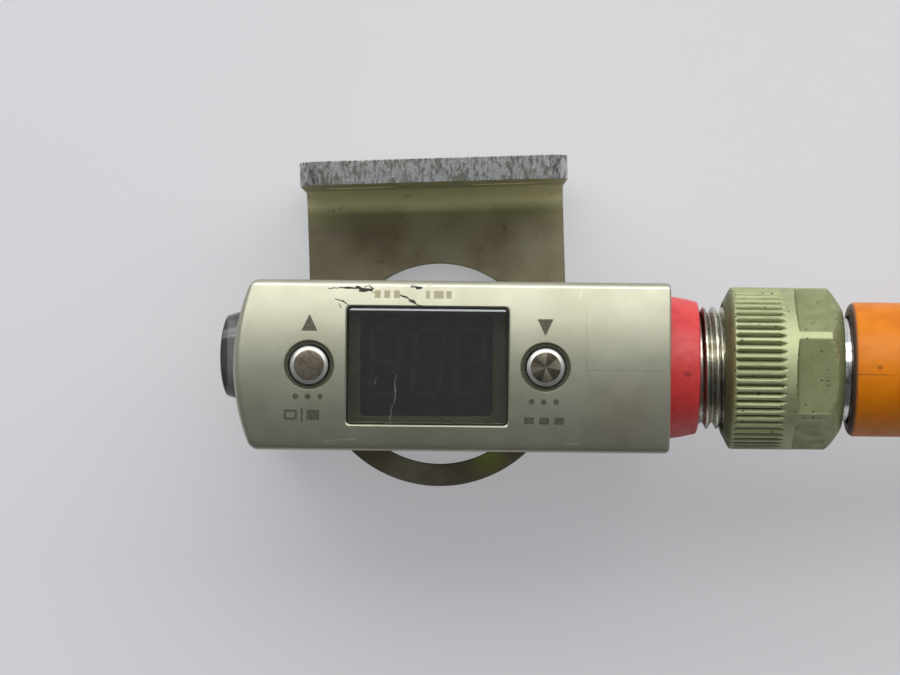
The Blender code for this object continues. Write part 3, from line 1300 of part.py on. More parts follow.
def nut_flats(root):
    """Six blocks that mill a hexagon into the nut's right end."""
    made = bmesh.new()
    depth = NUT_RADIUS - NUT_FLATS / 2 + CUT_OVERRUN
    width = NUT_FLATS * NUT_FLAT_WIDTH_SHARE
    length = NUT_FLATS_LENGTH + CUT_OVERRUN
    block = Matrix.Diagonal((depth, width, length, 1.0))
    place = Vector((NUT_FLATS / 2 + depth / 2, 0.0, NUT_RIGHT_X - NUT_FLATS_LENGTH + length / 2))
    for flat in range(HEX):
        turned = Matrix.Rotation(NUT_TURN + flat * 2 * math.pi / HEX, 4, "Z")
        bmesh.ops.create_cube(made, size=1.0, matrix=turned @ Matrix.Translation(place) @ block)
    mesh = mesh_from(made, "nut_flats")
    return add_cutter("nut_flats", mesh, root, (0.0, 0.0, CONNECTOR_AXIS_Z), ALONG_X)


def nut_knurls(root):
    """V-shaped grooves along the nut: square bars on edge, sunk to half their diagonal."""
    made = bmesh.new()
    side = KNURL_DEPTH * math.sqrt(2)
    bar = Matrix.Diagonal((side, side, KNURL_LENGTH, 1.0))
    on_edge = Matrix.Rotation(math.pi / 4, 4, "Z")
    step = 2 * math.pi / KNURL_COUNT
    surface = NUT_RADIUS * math.cos(step / 2)
    place = Vector((surface, 0.0, NUT_LEFT_X + KNURL_START + KNURL_LENGTH / 2))
    for groove in range(KNURL_COUNT):
        turned = Matrix.Rotation((groove + 0.5) * step, 4, "Z")
        matrix = turned @ Matrix.Translation(place) @ on_edge @ bar
        bmesh.ops.create_cube(made, size=1.0, matrix=matrix)
    mesh = mesh_from(made, "nut_knurls")
    return add_cutter("nut_knurls", mesh, root, (0.0, 0.0, CONNECTOR_AXIS_Z), ALONG_X)


def coupling_nut(finish, root):
    """A knurled nut with a hexagon end, captive between the barrel's flange and the grip."""
    shoulder_bore = BARREL_RADIUS + BARREL_RUNNING_GAP
    profile = [
        (NUT_RIGHT_X, shoulder_bore),
        (NUT_RIGHT_X, NUT_RADIUS - NUT_RIGHT_CHAMFER_R),
        (NUT_RIGHT_X - NUT_RIGHT_CHAMFER_X, NUT_RADIUS),
        (NUT_LEFT_X + NUT_LEFT_CHAMFER_X, NUT_RADIUS),
        (NUT_LEFT_X, NUT_RADIUS - NUT_LEFT_CHAMFER_R),
        (NUT_LEFT_X, NUT_BORE_RADIUS),
        (NUT_SHOULDER_X, NUT_BORE_RADIUS),
        (NUT_SHOULDER_X, shoulder_bore),
    ]
    made = turned_along("coupling_nut", profile, finish, root, KNURL_COUNT, closed=True)
    join(made, nut_knurls(root))
    join(made, nut_flats(root))


def footprint_centre():
    """The middle of the whole part's outline seen from above."""
    middle_x = (INDICATOR_FRONT_X + GRIP_RIGHT_X) / 2
    half = PLATE_WIDTH / 2
    low_y = (half - BASE_REACH) * math.cos(BRACKET_YAW) - half
    high_y = LEG_OUTER_Y * math.cos(BRACKET_YAW) + half * math.sin(BRACKET_YAW)
    return middle_x, (low_y + high_y) / 2


def build():
    satin = material("satin_die_cast", (0.62, 0.61, 0.52), 0.38, 0.9)
    stainless = material("stained_stainless", (0.30, 0.29, 0.22), 0.42, 1.0)
    steel = material("screw_steel", (0.55, 0.55, 0.53), 0.35, 1.0)
    smoked = material("smoked_window", (0.01, 0.011, 0.01), 0.08)
    smoked_lens = material("smoked_lens", (0.05, 0.045, 0.04), 0.12)
    glass = material("coated_glass", (0.25, 0.08, 0.08), 0.05)
    black = material("black_moulding", (0.02, 0.02, 0.02), 0.5)
    rubber = material("black_rubber", (0.015, 0.015, 0.015), 0.75)
    board = material("green_board", (0.02, 0.14, 0.06), 0.5)
    chip = material("chip_epoxy", (0.03, 0.03, 0.035), 0.45)
    red = material("red_ring", (0.75, 0.06, 0.07), 0.35)
    sleeve = material("nickel_plated_brass", (0.55, 0.56, 0.52), 0.25, 1.0)
    contact = material("gold_contact", (0.85, 0.62, 0.25), 0.25, 1.0)
    nut = material("green_tinted_nut", (0.32, 0.40, 0.22), 0.5, 0.7)
    chrome = material("bright_barrel", (0.80, 0.80, 0.80), 0.12, 1.0)
    orange = material("orange_grip", (0.70, 0.26, 0.03), 0.42)
    key = material("button_metal", (0.50, 0.49, 0.42), 0.35, 0.9)

    middle_x, middle_y = footprint_centre()
    root = new_empty("sensor_frame", location=(-middle_x, -middle_y, 0.0))
    bracket_frame = bracket(stainless, root)
    bracket_screws(steel, bracket_frame)

    housing(satin, root)
    beam_cover(satin, root, bracket_frame)
    cover_gasket(rubber, root)
    cover_screws(steel, root)
    beam_window(glass, root)

    display_window(smoked, root)
    window_gasket(rubber, root)
    display_module(chip, root)
    display_board(board, root)
    for word, x in BUTTON_PLACES:
        button_switch(word, x, chip, root)
        button_seal(word, x, rubber, root)
        button(word, x, key, root)

    indicator_lens(smoked_lens, root)
    indicator_gasket(rubber, root)
    indicator_board(board, smoked_lens, root)
    main_board(board, root)
    processor_chip(chip, root)
    board_link(black, root)

    optics_block(black, root)
    collimator = ("collimating_lens", LASER_X, COLLIMATOR_RADIUS, COLLIMATOR_THICKNESS)
    lens(*collimator, glass, root)
    receiving = ("receiver_lens", RECEIVER_X, RECEIVER_LENS_RADIUS, RECEIVER_LENS_THICKNESS)
    lens(*receiving, glass, root)
    laser_diode(sleeve, root)
    receiver(board, chip, root)

    connector_sleeve(sleeve, root)
    sleeve_seal(rubber, root)
    colour_ring(red, root)
    connector_insert(black, root)
    connector_board(board, root)
    contact_pins(contact, root)

    plug_frame = new_empty("plug_frame", root)
    plug_carrier(black, plug_frame)
    socket_contacts(contact, plug_frame)
    plug_seal(rubber, plug_frame)
    plug_barrel(chrome, plug_frame)
    plug_grip(orange, plug_frame)
    coupling_nut(nut, plug_frame)


for leftover in list(bpy.data.objects):
    bpy.data.objects.remove(leftover)
PARTS = new_collection("laser_photoelectric_sensor")
CUTTERS = new_collection("cutters")
CUTTERS.hide_render = True
build()
bpy.context.view_layer.update()
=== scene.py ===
import math
from functools import reduce

import bmesh
import bpy
from mathutils import Matrix, Vector


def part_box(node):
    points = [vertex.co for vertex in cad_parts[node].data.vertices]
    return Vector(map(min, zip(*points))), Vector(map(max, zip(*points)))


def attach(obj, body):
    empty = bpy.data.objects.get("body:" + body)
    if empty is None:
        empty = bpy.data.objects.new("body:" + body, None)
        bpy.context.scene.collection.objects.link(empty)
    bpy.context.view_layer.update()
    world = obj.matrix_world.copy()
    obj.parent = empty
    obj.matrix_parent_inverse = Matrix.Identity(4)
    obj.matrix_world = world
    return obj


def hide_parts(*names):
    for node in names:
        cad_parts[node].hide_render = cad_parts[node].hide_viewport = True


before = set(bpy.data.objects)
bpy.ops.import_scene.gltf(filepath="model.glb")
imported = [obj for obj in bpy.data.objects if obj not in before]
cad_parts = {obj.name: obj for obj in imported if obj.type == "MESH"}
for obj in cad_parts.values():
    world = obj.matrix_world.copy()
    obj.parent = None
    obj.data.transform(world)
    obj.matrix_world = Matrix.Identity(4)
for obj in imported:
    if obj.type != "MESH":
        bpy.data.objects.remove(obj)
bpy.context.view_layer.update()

mm = 0.001

# The housing's box gives the sensor's own origin: the centre of the bracket's opening.
openingFromLeft = 19.3
housingLow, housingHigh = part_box("housing")
origin = Vector((housingLow.x + openingFromLeft * mm, (housingLow.y + housingHigh.y) / 2, 0))
axisHeight = sum(corner.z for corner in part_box("plug_barrel")) / 2 / mm
connectorAxis = (0, 0, axisHeight)


# Working helpers. Sizes below are in millimetres from the sensor's own origin.

def localBox(node):
    # a node's box in millimetres from the sensor's own origin
    return [(corner - origin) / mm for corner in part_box(node)]


def inMetres(point):
    return [part * mm for part in point]


def limited(value):
    return min(max(value, 0), 1)


def take(piece):
    bpy.ops.object.select_all(action="DESELECT")
    piece.select_set(True)
    bpy.context.view_layer.objects.active = piece


def settle(name):
    # names the new primitive and puts its place, turn and scale into its mesh
    piece = bpy.context.active_object
    piece.name = name
    take(piece)
    bpy.ops.object.transform_apply(location=True, rotation=True, scale=True)
    return piece


def addBlock(name, low, high):
    low, high = Vector(low) * mm, Vector(high) * mm
    bpy.ops.object.select_all(action="DESELECT")
    bpy.ops.mesh.primitive_cube_add(size=1, location=(low + high) / 2, scale=high - low)
    return settle(name)


def pick(piece, kind, test):
    # edit mode, with only the vertices, edges or faces that pass the test selected
    take(piece)
    bpy.ops.object.mode_set(mode="EDIT")
    bpy.ops.mesh.select_mode(type=kind)
    bpy.ops.mesh.select_all(action="DESELECT")
    mesh = bmesh.from_edit_mesh(piece.data)
    for item in {"VERT": mesh.verts, "EDGE": mesh.edges, "FACE": mesh.faces}[kind]:
        if test(item):
            item.select_set(True)
    mesh.select_flush_mode()
    bmesh.update_edit_mesh(piece.data)


def work(piece, kind, test, operator, **settings):
    # one edit-mode operator on what passes the test
    pick(piece, kind, test)
    operator(**settings)
    bpy.ops.object.mode_set(mode="OBJECT")


def everything(item):
    return True


def facesUp(face):
    return face.normal.z > 0.9


def along(axis):
    # a test for edges that run along an axis
    def test(edge):
        step = (edge.verts[1].co - edge.verts[0].co).normalized()
        return abs(step[axis]) > 0.999
    return test


def bevelEdges(piece, test, size, segments=4):
    work(piece, "EDGE", test, bpy.ops.mesh.bevel, offset=size * mm, segments=segments, affect="EDGES")


def extrude(move):
    bpy.ops.mesh.extrude_region_move(TRANSFORM_OT_translate={"value": inMetres(move)})


def bisectAt(piece, axis, places):
    # cuts an edge loop across the piece at each place along the axis
    pick(piece, "VERT", everything)
    normal = [0, 0, 0]
    normal[axis] = 1
    for place in places:
        bpy.ops.mesh.select_all(action="SELECT")
        bpy.ops.mesh.bisect(plane_co=[part * place * mm for part in normal], plane_no=normal)
    bpy.ops.object.mode_set(mode="OBJECT")


def cut(piece, tool, operation="DIFFERENCE"):
    take(piece)
    change = piece.modifiers.new("cut", "BOOLEAN")
    change.operation = operation
    change.solver = "EXACT"
    change.object = tool
    bpy.ops.object.modifier_apply(modifier="cut")
    bpy.data.objects.remove(tool)


def joinAll(name, pieces):
    bpy.ops.object.select_all(action="DESELECT")
    for piece in pieces:
        piece.select_set(True)
    bpy.context.view_layer.objects.active = pieces[0]
    bpy.ops.object.join()
    pieces[0].name = name
    return pieces[0]


def twin(piece, change):
    # a copy with its own mesh, changed by a matrix
    copy = piece.copy()
    copy.data = piece.data.copy()
    bpy.context.collection.objects.link(copy)
    copy.data.transform(change)
    return copy


def spinProfile(name, points, axis, centre=(0, 0, 0), steps=96):
    # draws a profile of (along, radius) points vertex by vertex and spins it round an axis
    centre = Vector(centre) * mm
    forward = Vector((0, 0, 0))
    forward[axis] = 1
    outward = Vector((1, 0, 0)) if axis == 2 else Vector((0, 0, 1))
    places = [centre + forward * a * mm + outward * r * mm for a, r in points]
    bpy.ops.object.select_all(action="DESELECT")
    bpy.ops.mesh.primitive_plane_add(size=mm, location=places[0])
    piece = settle(name)
    pick(piece, "VERT", everything)
    bpy.ops.mesh.merge(type="CENTER")
    for start, end in zip(places, places[1:]):
        bpy.ops.mesh.extrude_vertices_move(TRANSFORM_OT_translate={"value": end - start})
    bpy.ops.mesh.select_all(action="SELECT")
    bpy.ops.mesh.spin(steps=steps, angle=2 * math.pi, center=centre, axis=forward)
    bpy.ops.mesh.select_all(action="SELECT")
    bpy.ops.mesh.remove_doubles(threshold=0.5e-6)
    bpy.ops.mesh.normals_make_consistent(inside=False)
    bpy.ops.object.mode_set(mode="OBJECT")
    return piece


def addRod(name, start, end, radius, axis, centre, steps):
    return spinProfile(name, [(start, 0), (start, radius), (end, radius), (end, 0)], axis, centre, steps)


def roundCorner(centre, radius, start, end, steps=5):
    # points of an arc in a profile, with angles in degrees from the axis direction
    turns = [math.radians(start + (end - start) * step / steps) for step in range(steps + 1)]
    return [(centre[0] + radius * math.cos(t), centre[1] + radius * math.sin(t)) for t in turns]


def softEdges(piece, size, angle=35, segments=2):
    take(piece)
    change = piece.modifiers.new("soft_edges", "BEVEL")
    change.width = size * mm
    change.segments = segments
    change.limit_method = "ANGLE"
    change.angle_limit = math.radians(angle)
    bpy.ops.object.modifier_apply(modifier="soft_edges")


def redrawRound(piece, rule):
    # moves each vertex to the radius about the connector's axis that the rule gives, if it gives one
    middle = axisHeight * mm
    for vertex in piece.data.vertices:
        x, y, z = vertex.co.x / mm, vertex.co.y / mm, (vertex.co.z - middle) / mm
        radius = math.hypot(y, z)
        drawn = rule(x, math.atan2(-y, z), radius)
        if drawn is not None:
            vertex.co.y = y / radius * drawn * mm
            vertex.co.z = middle + z / radius * drawn * mm


def finishPiece(piece, body, recordSlot, material, *nodes, angle=32, even=False):
    # smooth shading, the sensor's place, the material and the frame's bookkeeping
    take(piece)
    bpy.ops.object.shade_smooth_by_angle(angle=math.radians(angle))
    if even:  # keeps large flat faces flat beside their small round edges
        piece.modifiers.new("even", "WEIGHTED_NORMAL").keep_sharp = True
        bpy.ops.object.modifier_apply(modifier="even")
    piece.data.transform(Matrix.Translation(origin))
    piece.data.materials.clear()
    piece.data.materials.append(material)
    piece.data.name = piece.name
    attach(piece, body)
    if nodes:
        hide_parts(*nodes)
    return piece


# Shader helpers. Each finds its node tree from the sockets it is given.

def hexColour(code):
    # sRGB hex to the linear values that a shader works in
    channels = [int(code[place:place + 2], 16) / 255 for place in (1, 3, 5)]
    linear = [c / 12.92 if c <= 0.04045 else ((c + 0.055) / 1.055) ** 2.4 for c in channels]
    return (*linear, 1.0)


def feed(socket, value):
    # gives an input a value, a hex colour or another node's socket
    if isinstance(value, bpy.types.NodeSocket):
        socket.id_data.links.new(value, socket)
    else:
        socket.default_value = hexColour(value) if isinstance(value, str) else value


def addNode(source, kind, inputs=None, **settings):
    # one node in the tree of the source, which is a socket, a node or the tree itself
    node = source.id_data.nodes.new("ShaderNode" + kind)
    for name, value in settings.items():
        setattr(node, name, value)
    for socket, value in (inputs or {}).items():
        feed(node.inputs[socket], value)
    return node


def setShader(shader, **values):
    for socket, value in values.items():
        feed(shader.inputs[socket.replace("_", " ")], value)


def newMaterial(name, **values):
    # a Principled shader with its fixed values set on its own sockets
    material = bpy.data.materials.new(name)
    material.use_nodes = True
    shader = material.node_tree.nodes["Principled BSDF"]
    setShader(shader, **values)
    return material, shader, addNode(shader, "TexCoord").outputs["Object"]


def addBump(shader, height, distance, strength):
    inputs = {"Height": height, "Distance": distance * mm, "Strength": strength}
    setShader(shader, Normal=addNode(shader, "Bump", inputs).outputs[0])


def mathNode(operation, first, second=0.0, third=0.0, clamp=False):
    source = first if isinstance(first, bpy.types.NodeSocket) else second
    inputs = {0: first, 1: second, 2: third}
    return addNode(source, "Math", inputs, operation=operation, use_clamp=clamp).outputs[0]


def times(first, second):
    return mathNode("MULTIPLY", first, second)


def plus(first, second):
    return mathNode("ADD", first, second)


def minus(first, second):
    return mathNode("SUBTRACT", first, second)


def larger(first, second):
    return mathNode("MAXIMUM", first, second)


def vectorNode(operation, first, second=(0, 0, 0), third=(0, 0, 0), result=0):
    inputs = {0: first, 1: second, 2: third}
    return addNode(first, "VectorMath", inputs, operation=operation).outputs[result]


def axes(vector):
    return addNode(vector, "SeparateXYZ", {0: vector}).outputs


def centred(place, point):
    # pattern coordinates counted from a point of the sensor, in metres
    return vectorNode("SUBTRACT", place, origin + Vector(point) * mm)


def turned(vector, degrees):
    inputs = {"Vector": vector, "Angle": -math.radians(degrees)}
    return addNode(vector, "VectorRotate", inputs, rotation_type="Z_AXIS").outputs[0]


def reachOf(vector, kept=(1, 1, 1)):
    # the vector's length, counting only the axes that are kept
    return vectorNode("LENGTH", vectorNode("MULTIPLY", vector, kept), result=1)


def distanceTo(vector, point):
    return vectorNode("DISTANCE", vector, Vector(point) * mm, result=1)


def blend(factor, first, second):
    inputs = {0: factor, 6: first, 7: second}
    return addNode(factor, "Mix", inputs, data_type="RGBA").outputs[2]


def blendValue(factor, first, second):
    return addNode(factor, "Mix", {0: factor, 2: first, 3: second}, data_type="FLOAT").outputs[0]


def band(value, low, high, outLow=0.0, outHigh=1.0):
    inputs = {0: value, 1: low, 2: high, 3: outLow, 4: outHigh}
    return addNode(value, "MapRange", inputs, interpolation_type="SMOOTHSTEP").outputs[0]


def fade(length, low, high, outLow=0.0, outHigh=1.0):
    # a band whose limits are in millimetres
    return band(length, low * mm, high * mm, outLow, outHigh)


def between(length, low, lowEnd, high, highEnd, outside=0.0):
    # 1 between two limits in millimetres, and less past them
    return times(fade(length, low, lowEnd), fade(length, high, highEnd, 1.0, outside))


def noiseAt(place, size, detail=3.0, roughness=0.55, stretch=(1, 1, 1)):
    # noise whose grains are about size millimetres across
    inputs = {"Vector": vectorNode("MULTIPLY", place, stretch), "Scale": 1 / (size * mm),
              "Detail": detail, "Roughness": roughness}
    return addNode(place, "TexNoise", inputs).outputs["Fac"]


def wobbled(place, size, detail, reach):
    # coordinates pushed about by noise, which makes straight strokes ragged
    noise = addNode(place, "TexNoise", {"Vector": place, "Scale": 1 / (size * mm), "Detail": detail})
    offset = vectorNode("SUBTRACT", noise.outputs["Color"], (0.5, 0.5, 0.5))
    return vectorNode("MULTIPLY_ADD", offset, (reach * mm,) * 3, place)


def grains(place, size, low, high, rarity):
    # round spots in some of the cells of a random pattern
    cells = addNode(place, "TexVoronoi", {"Vector": place, "Scale": 1 / (size * mm)}, feature="F1")
    red = addNode(place, "SeparateColor", {0: cells.outputs["Color"]}).outputs[0]
    return times(band(cells.outputs["Distance"], low, high, 1.0, 0.0), mathNode("GREATER_THAN", red, rarity))


def strokeMask(place, strokes):
    # thin marks: each stroke is (x, y, angle, half length, half width) in millimetres and degrees
    masks = []
    for x, y, angle, halfLength, halfWidth in strokes:
        level = vectorNode("MULTIPLY", turned(centred(place, (x, y, 0)), angle), (1, 1, 0))
        past = vectorNode("SUBTRACT", vectorNode("ABSOLUTE", level), (halfLength * mm, 0, 0))
        distance = reachOf(vectorNode("MAXIMUM", past))
        masks.append(fade(distance, halfWidth * 0.6, halfWidth * 1.3, 1.0, 0.0))
    return reduce(larger, masks)


# Die-cast metal under a thin satin lacquer: a grey that takes a soft sheen, with fine grain,
# faint handling smudges, and dark nicks where the lacquer is chipped.
housingFinish = {
    "colour": "#B6B5A1",
    "smudge": "#AEAD98",
    "chip": "#2B281C",
    "well": "#5C5C49",  # painted shade in the wells round the keys
    "keys": (-12.17, 9.97), "wellEdge": (2.285, 2.30),
    "face": (31.0, 31.6),  # the marks are on the display face alone
    "roughness": 0.40, "metallic": 0.85,
    "grain": 0.10,  # size of the cast grain
    "nicks": [
        (-9.35, 7.25, 1, 1.15, 0.045), (-8.2, 7.2, 0, 0.75, 0.04), (-7.35, 7.2, -12, 0.5, 0.13),
        (-6.95, 7.05, 6, 0.55, 0.13), (-6.75, 7.45, 20, 0.28, 0.05), (-6.45, 7.35, -35, 0.25, 0.06),
        (-2.4, 7.42, -12, 0.28, 0.12), (-1.95, 7.3, 8, 0.22, 0.08), (-2.55, 5.95, -22, 0.42, 0.055),
        (-1.85, 5.65, -26, 0.42, 0.05), (-9.4, 6.1, -18, 0.35, 0.045), (-8.85, 5.85, -45, 0.3, 0.045),
        (-9.3, 5.55, -70, 0.25, 0.03), (-1.0, 7.5, 0, 0.14, 0.035), (-6.1, 6.9, 40, 0.2, 0.03),
        (-3.0, 6.3, -27, 0.75, 0.07),
    ],
    "lines": [(17.6, -0.24, 0, 3.7, 0.03), (13.8, 2.2, 90, 3.0, 0.02)],  # fine old scratches
    "litEdgeLine": (7.42, 7.47, 7.57, 7.63),  # painted highlight: a pale line along the far edge, on the lamps' side
    "scuffs": [
        (-9.4, -7.02, 3, 1.3, 0.045), (-8.2, -6.9, -4, 0.5, 0.04), (12.6, -7.15, 0, 0.7, 0.045),
        (-10.2, -7.3, -3, 0.6, 0.04), (13.2, 6.9, 82, 0.35, 0.03),
    ],
}


def satinDieCast():
    given = housingFinish
    material, shader, place = newMaterial("satin_die_cast", Metallic=given["metallic"])
    base = blend(band(noiseAt(place, 5.0), 0.36, 0.68), given["colour"], given["smudge"])
    base = blend(band(noiseAt(place, 0.11, 2.0), 0.62, 0.74, 0.0, 0.22), base, "#77766B")
    ragged = wobbled(place, 0.5, 4.0, 0.35)
    y, z = axes(centred(place, (0, 0, 0)))[1:]
    onFace = fade(z, *given["face"])
    nicks, scuffs, lines = [times(strokeMask(ragged, given[kind]), onFace)
                            for kind in ("nicks", "scuffs", "lines")]
    base = blend(times(scuffs, 0.6), base, "#E4E3D8")
    base = blend(nicks, base, given["chip"])
    base = blend(times(lines, 0.45), base, "#6F6D5A")
    warm = reachOf(centred(place, (17.5, -4.5, 34)))
    base = blend(fade(warm, 1.0, 4.5, 0.3, 0.0), base, "#AE9C86")
    # painted highlight: a pale line painted along the far edge's rounding, on the lamps' side
    wearAndHighlight = times(between(y, *given["litEdgeLine"]), onFace)
    base = blend(times(wearAndHighlight, 0.45), base, "#F2F2EA")
    # painted shade: the wells round the keys are painted dark and less metallic
    spots = [reachOf(centred(place, (middle, 0, 0)), (1, 1, 0)) for middle in given["keys"]]
    shadedWells = times(reduce(larger, [fade(spot, *given["wellEdge"], 1.0, 0.0) for spot in spots]), onFace)
    base = blend(shadedWells, base, given["well"])
    sheen = band(noiseAt(place, 1.8), 0.3, 0.7, given["roughness"] - 0.02, given["roughness"] + 0.03)
    dull = larger(nicks, shadedWells)
    setShader(shader, Base_Color=base, Roughness=plus(sheen, times(dull, 0.25)),
              Metallic=minus(given["metallic"], times(dull, 0.6)))
    addBump(shader, minus(noiseAt(place, given["grain"], 2.0), times(nicks, 1.6)), 0.012, 0.5)
    return material


# Cold-rolled stainless plate that has been in use: a dull, brown-stained surface, with bright
# ground faces where the plate was blanked.
bracketFinish = {
    "steel": "#9B947D",
    "stain": "#857963",
    "cutFace": "#C9C9C6",
    "tint": "#C0CE34",  # painted glint: a yellow-green reflection painted on the round end
    "yaw": 2.3,
    "cornerAt": (10.2, 20.5), "corner": 2.8,  # the leg's round corners, from the bracket's middle
}


def stainedStainless():
    given = bracketFinish
    material, shader, place = newMaterial("stained_stainless", Metallic=1.0)
    local = turned(centred(place, (0, 0, 0)), given["yaw"])
    x, y, z = axes(local)
    cloud = noiseAt(local, 5.5, 3.0, 0.5)
    base = blend(band(cloud, 0.30, 0.70), given["steel"], given["stain"])
    base = blend(fade(x, -12.5, -1.0, 0.4, 0.0), base, "#5C5343")
    base = blend(times(fade(y, 13.6, 15.2), 0.55), base, "#8F9068")  # greener where the bend starts
    # painted light: the inside of the bend, which the leg shades from the lamps, is painted paler and less
    # metallic
    bendLight = times(between(y, 15.2, 15.7, 18.2, 18.6), between(z, 2.2, 2.6, 5.0, 10.0, 0.25))
    base = blend(bendLight, base, "#D2CFA6")
    base = blend(band(noiseAt(local, 1.1, 3.0, 0.6), 0.62, 0.72, 0.0, 0.35), base, "#4E4736")
    # painted glint: a yellow-green reflection painted on the round end
    patch = fade(distanceTo(local, (4.6, -9.6, 0)), 0.6, 3.6, 1.0, 0.0)
    base = blend(times(patch, band(cloud, 0.2, 0.5, 0.4, 1.0)), base, given["tint"])
    # the blanked faces: the leg's edge with its round corners, and the plate's two long sides
    cornerX, cornerZ = given["cornerAt"]
    pastX = larger(minus(mathNode("ABSOLUTE", x), cornerX * mm), 0.0)
    pastZ = larger(minus(z, cornerZ * mm), 0.0)
    reach = mathNode("SQRT", plus(mathNode("POWER", pastX, 2.0), mathNode("POWER", pastZ, 2.0)))
    bright = fade(reach, given["corner"] - 0.05, given["corner"] - 0.02)
    scratch = noiseAt(local, 0.26, 4.0, 0.62, (1, 0.35, 0.35))
    dark = band(plus(times(scratch, 0.7), times(noiseAt(local, 2.4, 2.0), 0.3)), 0.42, 0.58)
    base = blend(bright, base, blend(dark, given["cutFace"], "#76756C"))
    rough = blendValue(bright, band(cloud, 0.3, 0.7, 0.44, 0.54), plus(times(dark, 0.14), 0.24))
    metal = mathNode("SUBTRACT", band(bright, 0.0, 1.0, 0.75, 1.0), times(bendLight, 0.55), clamp=True)
    setShader(shader, Base_Color=base, Roughness=rough, Metallic=larger(metal, bright))
    addBump(shader, plus(times(noiseAt(local, 0.16), 0.25), times(scratch, bright)), 0.05, 0.8)
    return material


# Smoked acrylic, cast and polished: nearly black in the thick, mirror smooth, with lint and a
# few dust grains on top that catch the light.
windowFinish = {
    "tint": "#DCDFD5",
    "dust": "#8F8F86",
    "hair": [(-6.0, -1.5, 82, 0.35, 0.025), (-4.15, -2.2, 88, 1.1, 0.022), (-4.35, -4.2, 72, 0.9, 0.022)],
    "topBelowFace": 0.9,
    "farEdge": (5.13, 5.19),  # painted highlight: a pale line along the far edge, on the lamps' side
}


def smokedAcrylic():
    given = windowFinish
    material, shader, place = newMaterial(
        "smoked_acrylic", IOR=1.49, Transmission_Weight=1.0, Roughness=0.03, Specular_IOR_Level=0.25)
    y, z = axes(centred(place, (0, 0, 0)))[1:]
    top = housingHigh.z / mm - given["topBelowFace"]
    onTop = fade(z, top, top + 0.1)
    hair = strokeMask(wobbled(place, 1.2, 1.0, 0.9), given["hair"])
    marks = times(times(larger(grains(place, 0.42, 0.05, 0.11, 0.72), hair), onTop), 0.55)
    # painted highlight: a pale, less clear line painted along the far edge, on the lamps' side
    windowEdgeHighlight = times(fade(y, *given["farEdge"]), onTop)
    marks = larger(marks, times(windowEdgeHighlight, 0.65))
    base = blend(windowEdgeHighlight, blend(marks, given["tint"], given["dust"]), "#DADCE0")
    rough = band(noiseAt(place, 1.5, 4.0), 0.35, 0.75, 0.03, 0.10)
    setShader(shader, Base_Color=base, Transmission_Weight=minus(1.0, marks), Roughness=rough)
    return material


# The status indicator's lens: a moulded block with round corners, slanted flanks and a bulged
# front, on a flange inside the wall.
indicator = {
    "width": 9.0, "frontWidth": 7.7, "height": 15.0, "corner": 3.0, "offset": 0.75,
    "front": -21.0, "shoulder": -18.4, "bulge": 0.5, "edge": 0.16,
    "flange": 0.75, "flangeThickness": 0.8,
}


# Smoked polycarbonate, injection moulded: dark grey-brown, glossy, lightly scratched in use.
def smokedPolycarbonate():
    material, shader, place = newMaterial(
        "smoked_polycarbonate", IOR=1.58, Transmission_Weight=0.5, Roughness=0.12)
    base = blend(band(noiseAt(place, 1.6, 5.0), 0.35, 0.68), "#8C8D8E", "#98999A")
    x, y = axes(centred(place, (indicator["front"], indicator["offset"], 0)))[:2]
    thick = fade(mathNode("ABSOLUTE", y), 3.0, 3.8)  # painted shade on the curved flanks
    rim = larger(thick, fade(x, 0.55, 0.85, 1.0, 0.0))
    # painted shade: the lens's curved flanks and its front edge are painted near black
    base = blend(times(rim, 0.8), base, "#2E2F31")
    fine = noiseAt(place, 0.12, 4.0, 0.6, (1, 0.2, 1))
    setShader(shader, Base_Color=base, Roughness=band(fine, 0.35, 0.75, 0.10, 0.26))
    addBump(shader, fine, 0.006, 0.5)
    return material


# Nickel-plated brass, thread rolled and plated: warm grey shine, brown stain in the roots.
def nickelPlatedBrass():
    material, shader, place = newMaterial("nickel_plated_brass", Metallic=1.0)
    local = centred(place, connectorAxis)
    x, y = axes(local)[:2]
    cloud = noiseAt(local, 0.9, 5.0, 0.6)
    base = blend(band(cloud, 0.36, 0.68), "#DAD8CB", "#B9B6A4")
    root = fade(reachOf(local, (0, 1, 1)), 5.45, 5.75, 1.0, 0.0)
    base = blend(times(root, 0.35), base, "#6A6450")
    stain = times(fade(x, 25.9, 26.7, 1.0, 0.0), fade(y, 2.5, 4.5))
    base = blend(times(stain, 0.6), base, "#5A3D22")
    setShader(shader, Base_Color=base, Roughness=band(cloud, 0.3, 0.7, 0.20, 0.34))
    addBump(shader, noiseAt(local, 0.12), 0.012, 0.5)
    return material


# Turned brass with bright nickel: mirror like, with fine turning rings and a brown stain.
def brightNickel():
    material, shader, place = newMaterial("bright_nickel", Metallic=1.0)
    local = centred(place, connectorAxis)
    cloud = noiseAt(local, 0.5, 4.0)
    patch = fade(distanceTo(local, (39.4, -0.5, 5.0)), 0.2, 1.3, 0.8, 0.0)
    base = blend(times(patch, band(cloud, 0.35, 0.6)), "#EFEEEA", "#6E5A40")
    base = blend(band(cloud, 0.55, 0.8, 0.0, 0.4), base, "#A7A396")
    setShader(shader, Base_Color=base, Roughness=band(cloud, 0.3, 0.75, 0.10, 0.20))
    addBump(shader, noiseAt(local, 0.06, 2.0, 0.5, (1, 0.02, 0.02)), 0.006, 0.35)
    return material


# Die-cast zinc with a green chromate tint: matt sage green, pitted, dirty in the grooves and
# rubbed brighter on the ribs.
nutFinish = {"green": "#9FA578", "worn": "#D3D8AC", "dirt": "#3C3F27"}


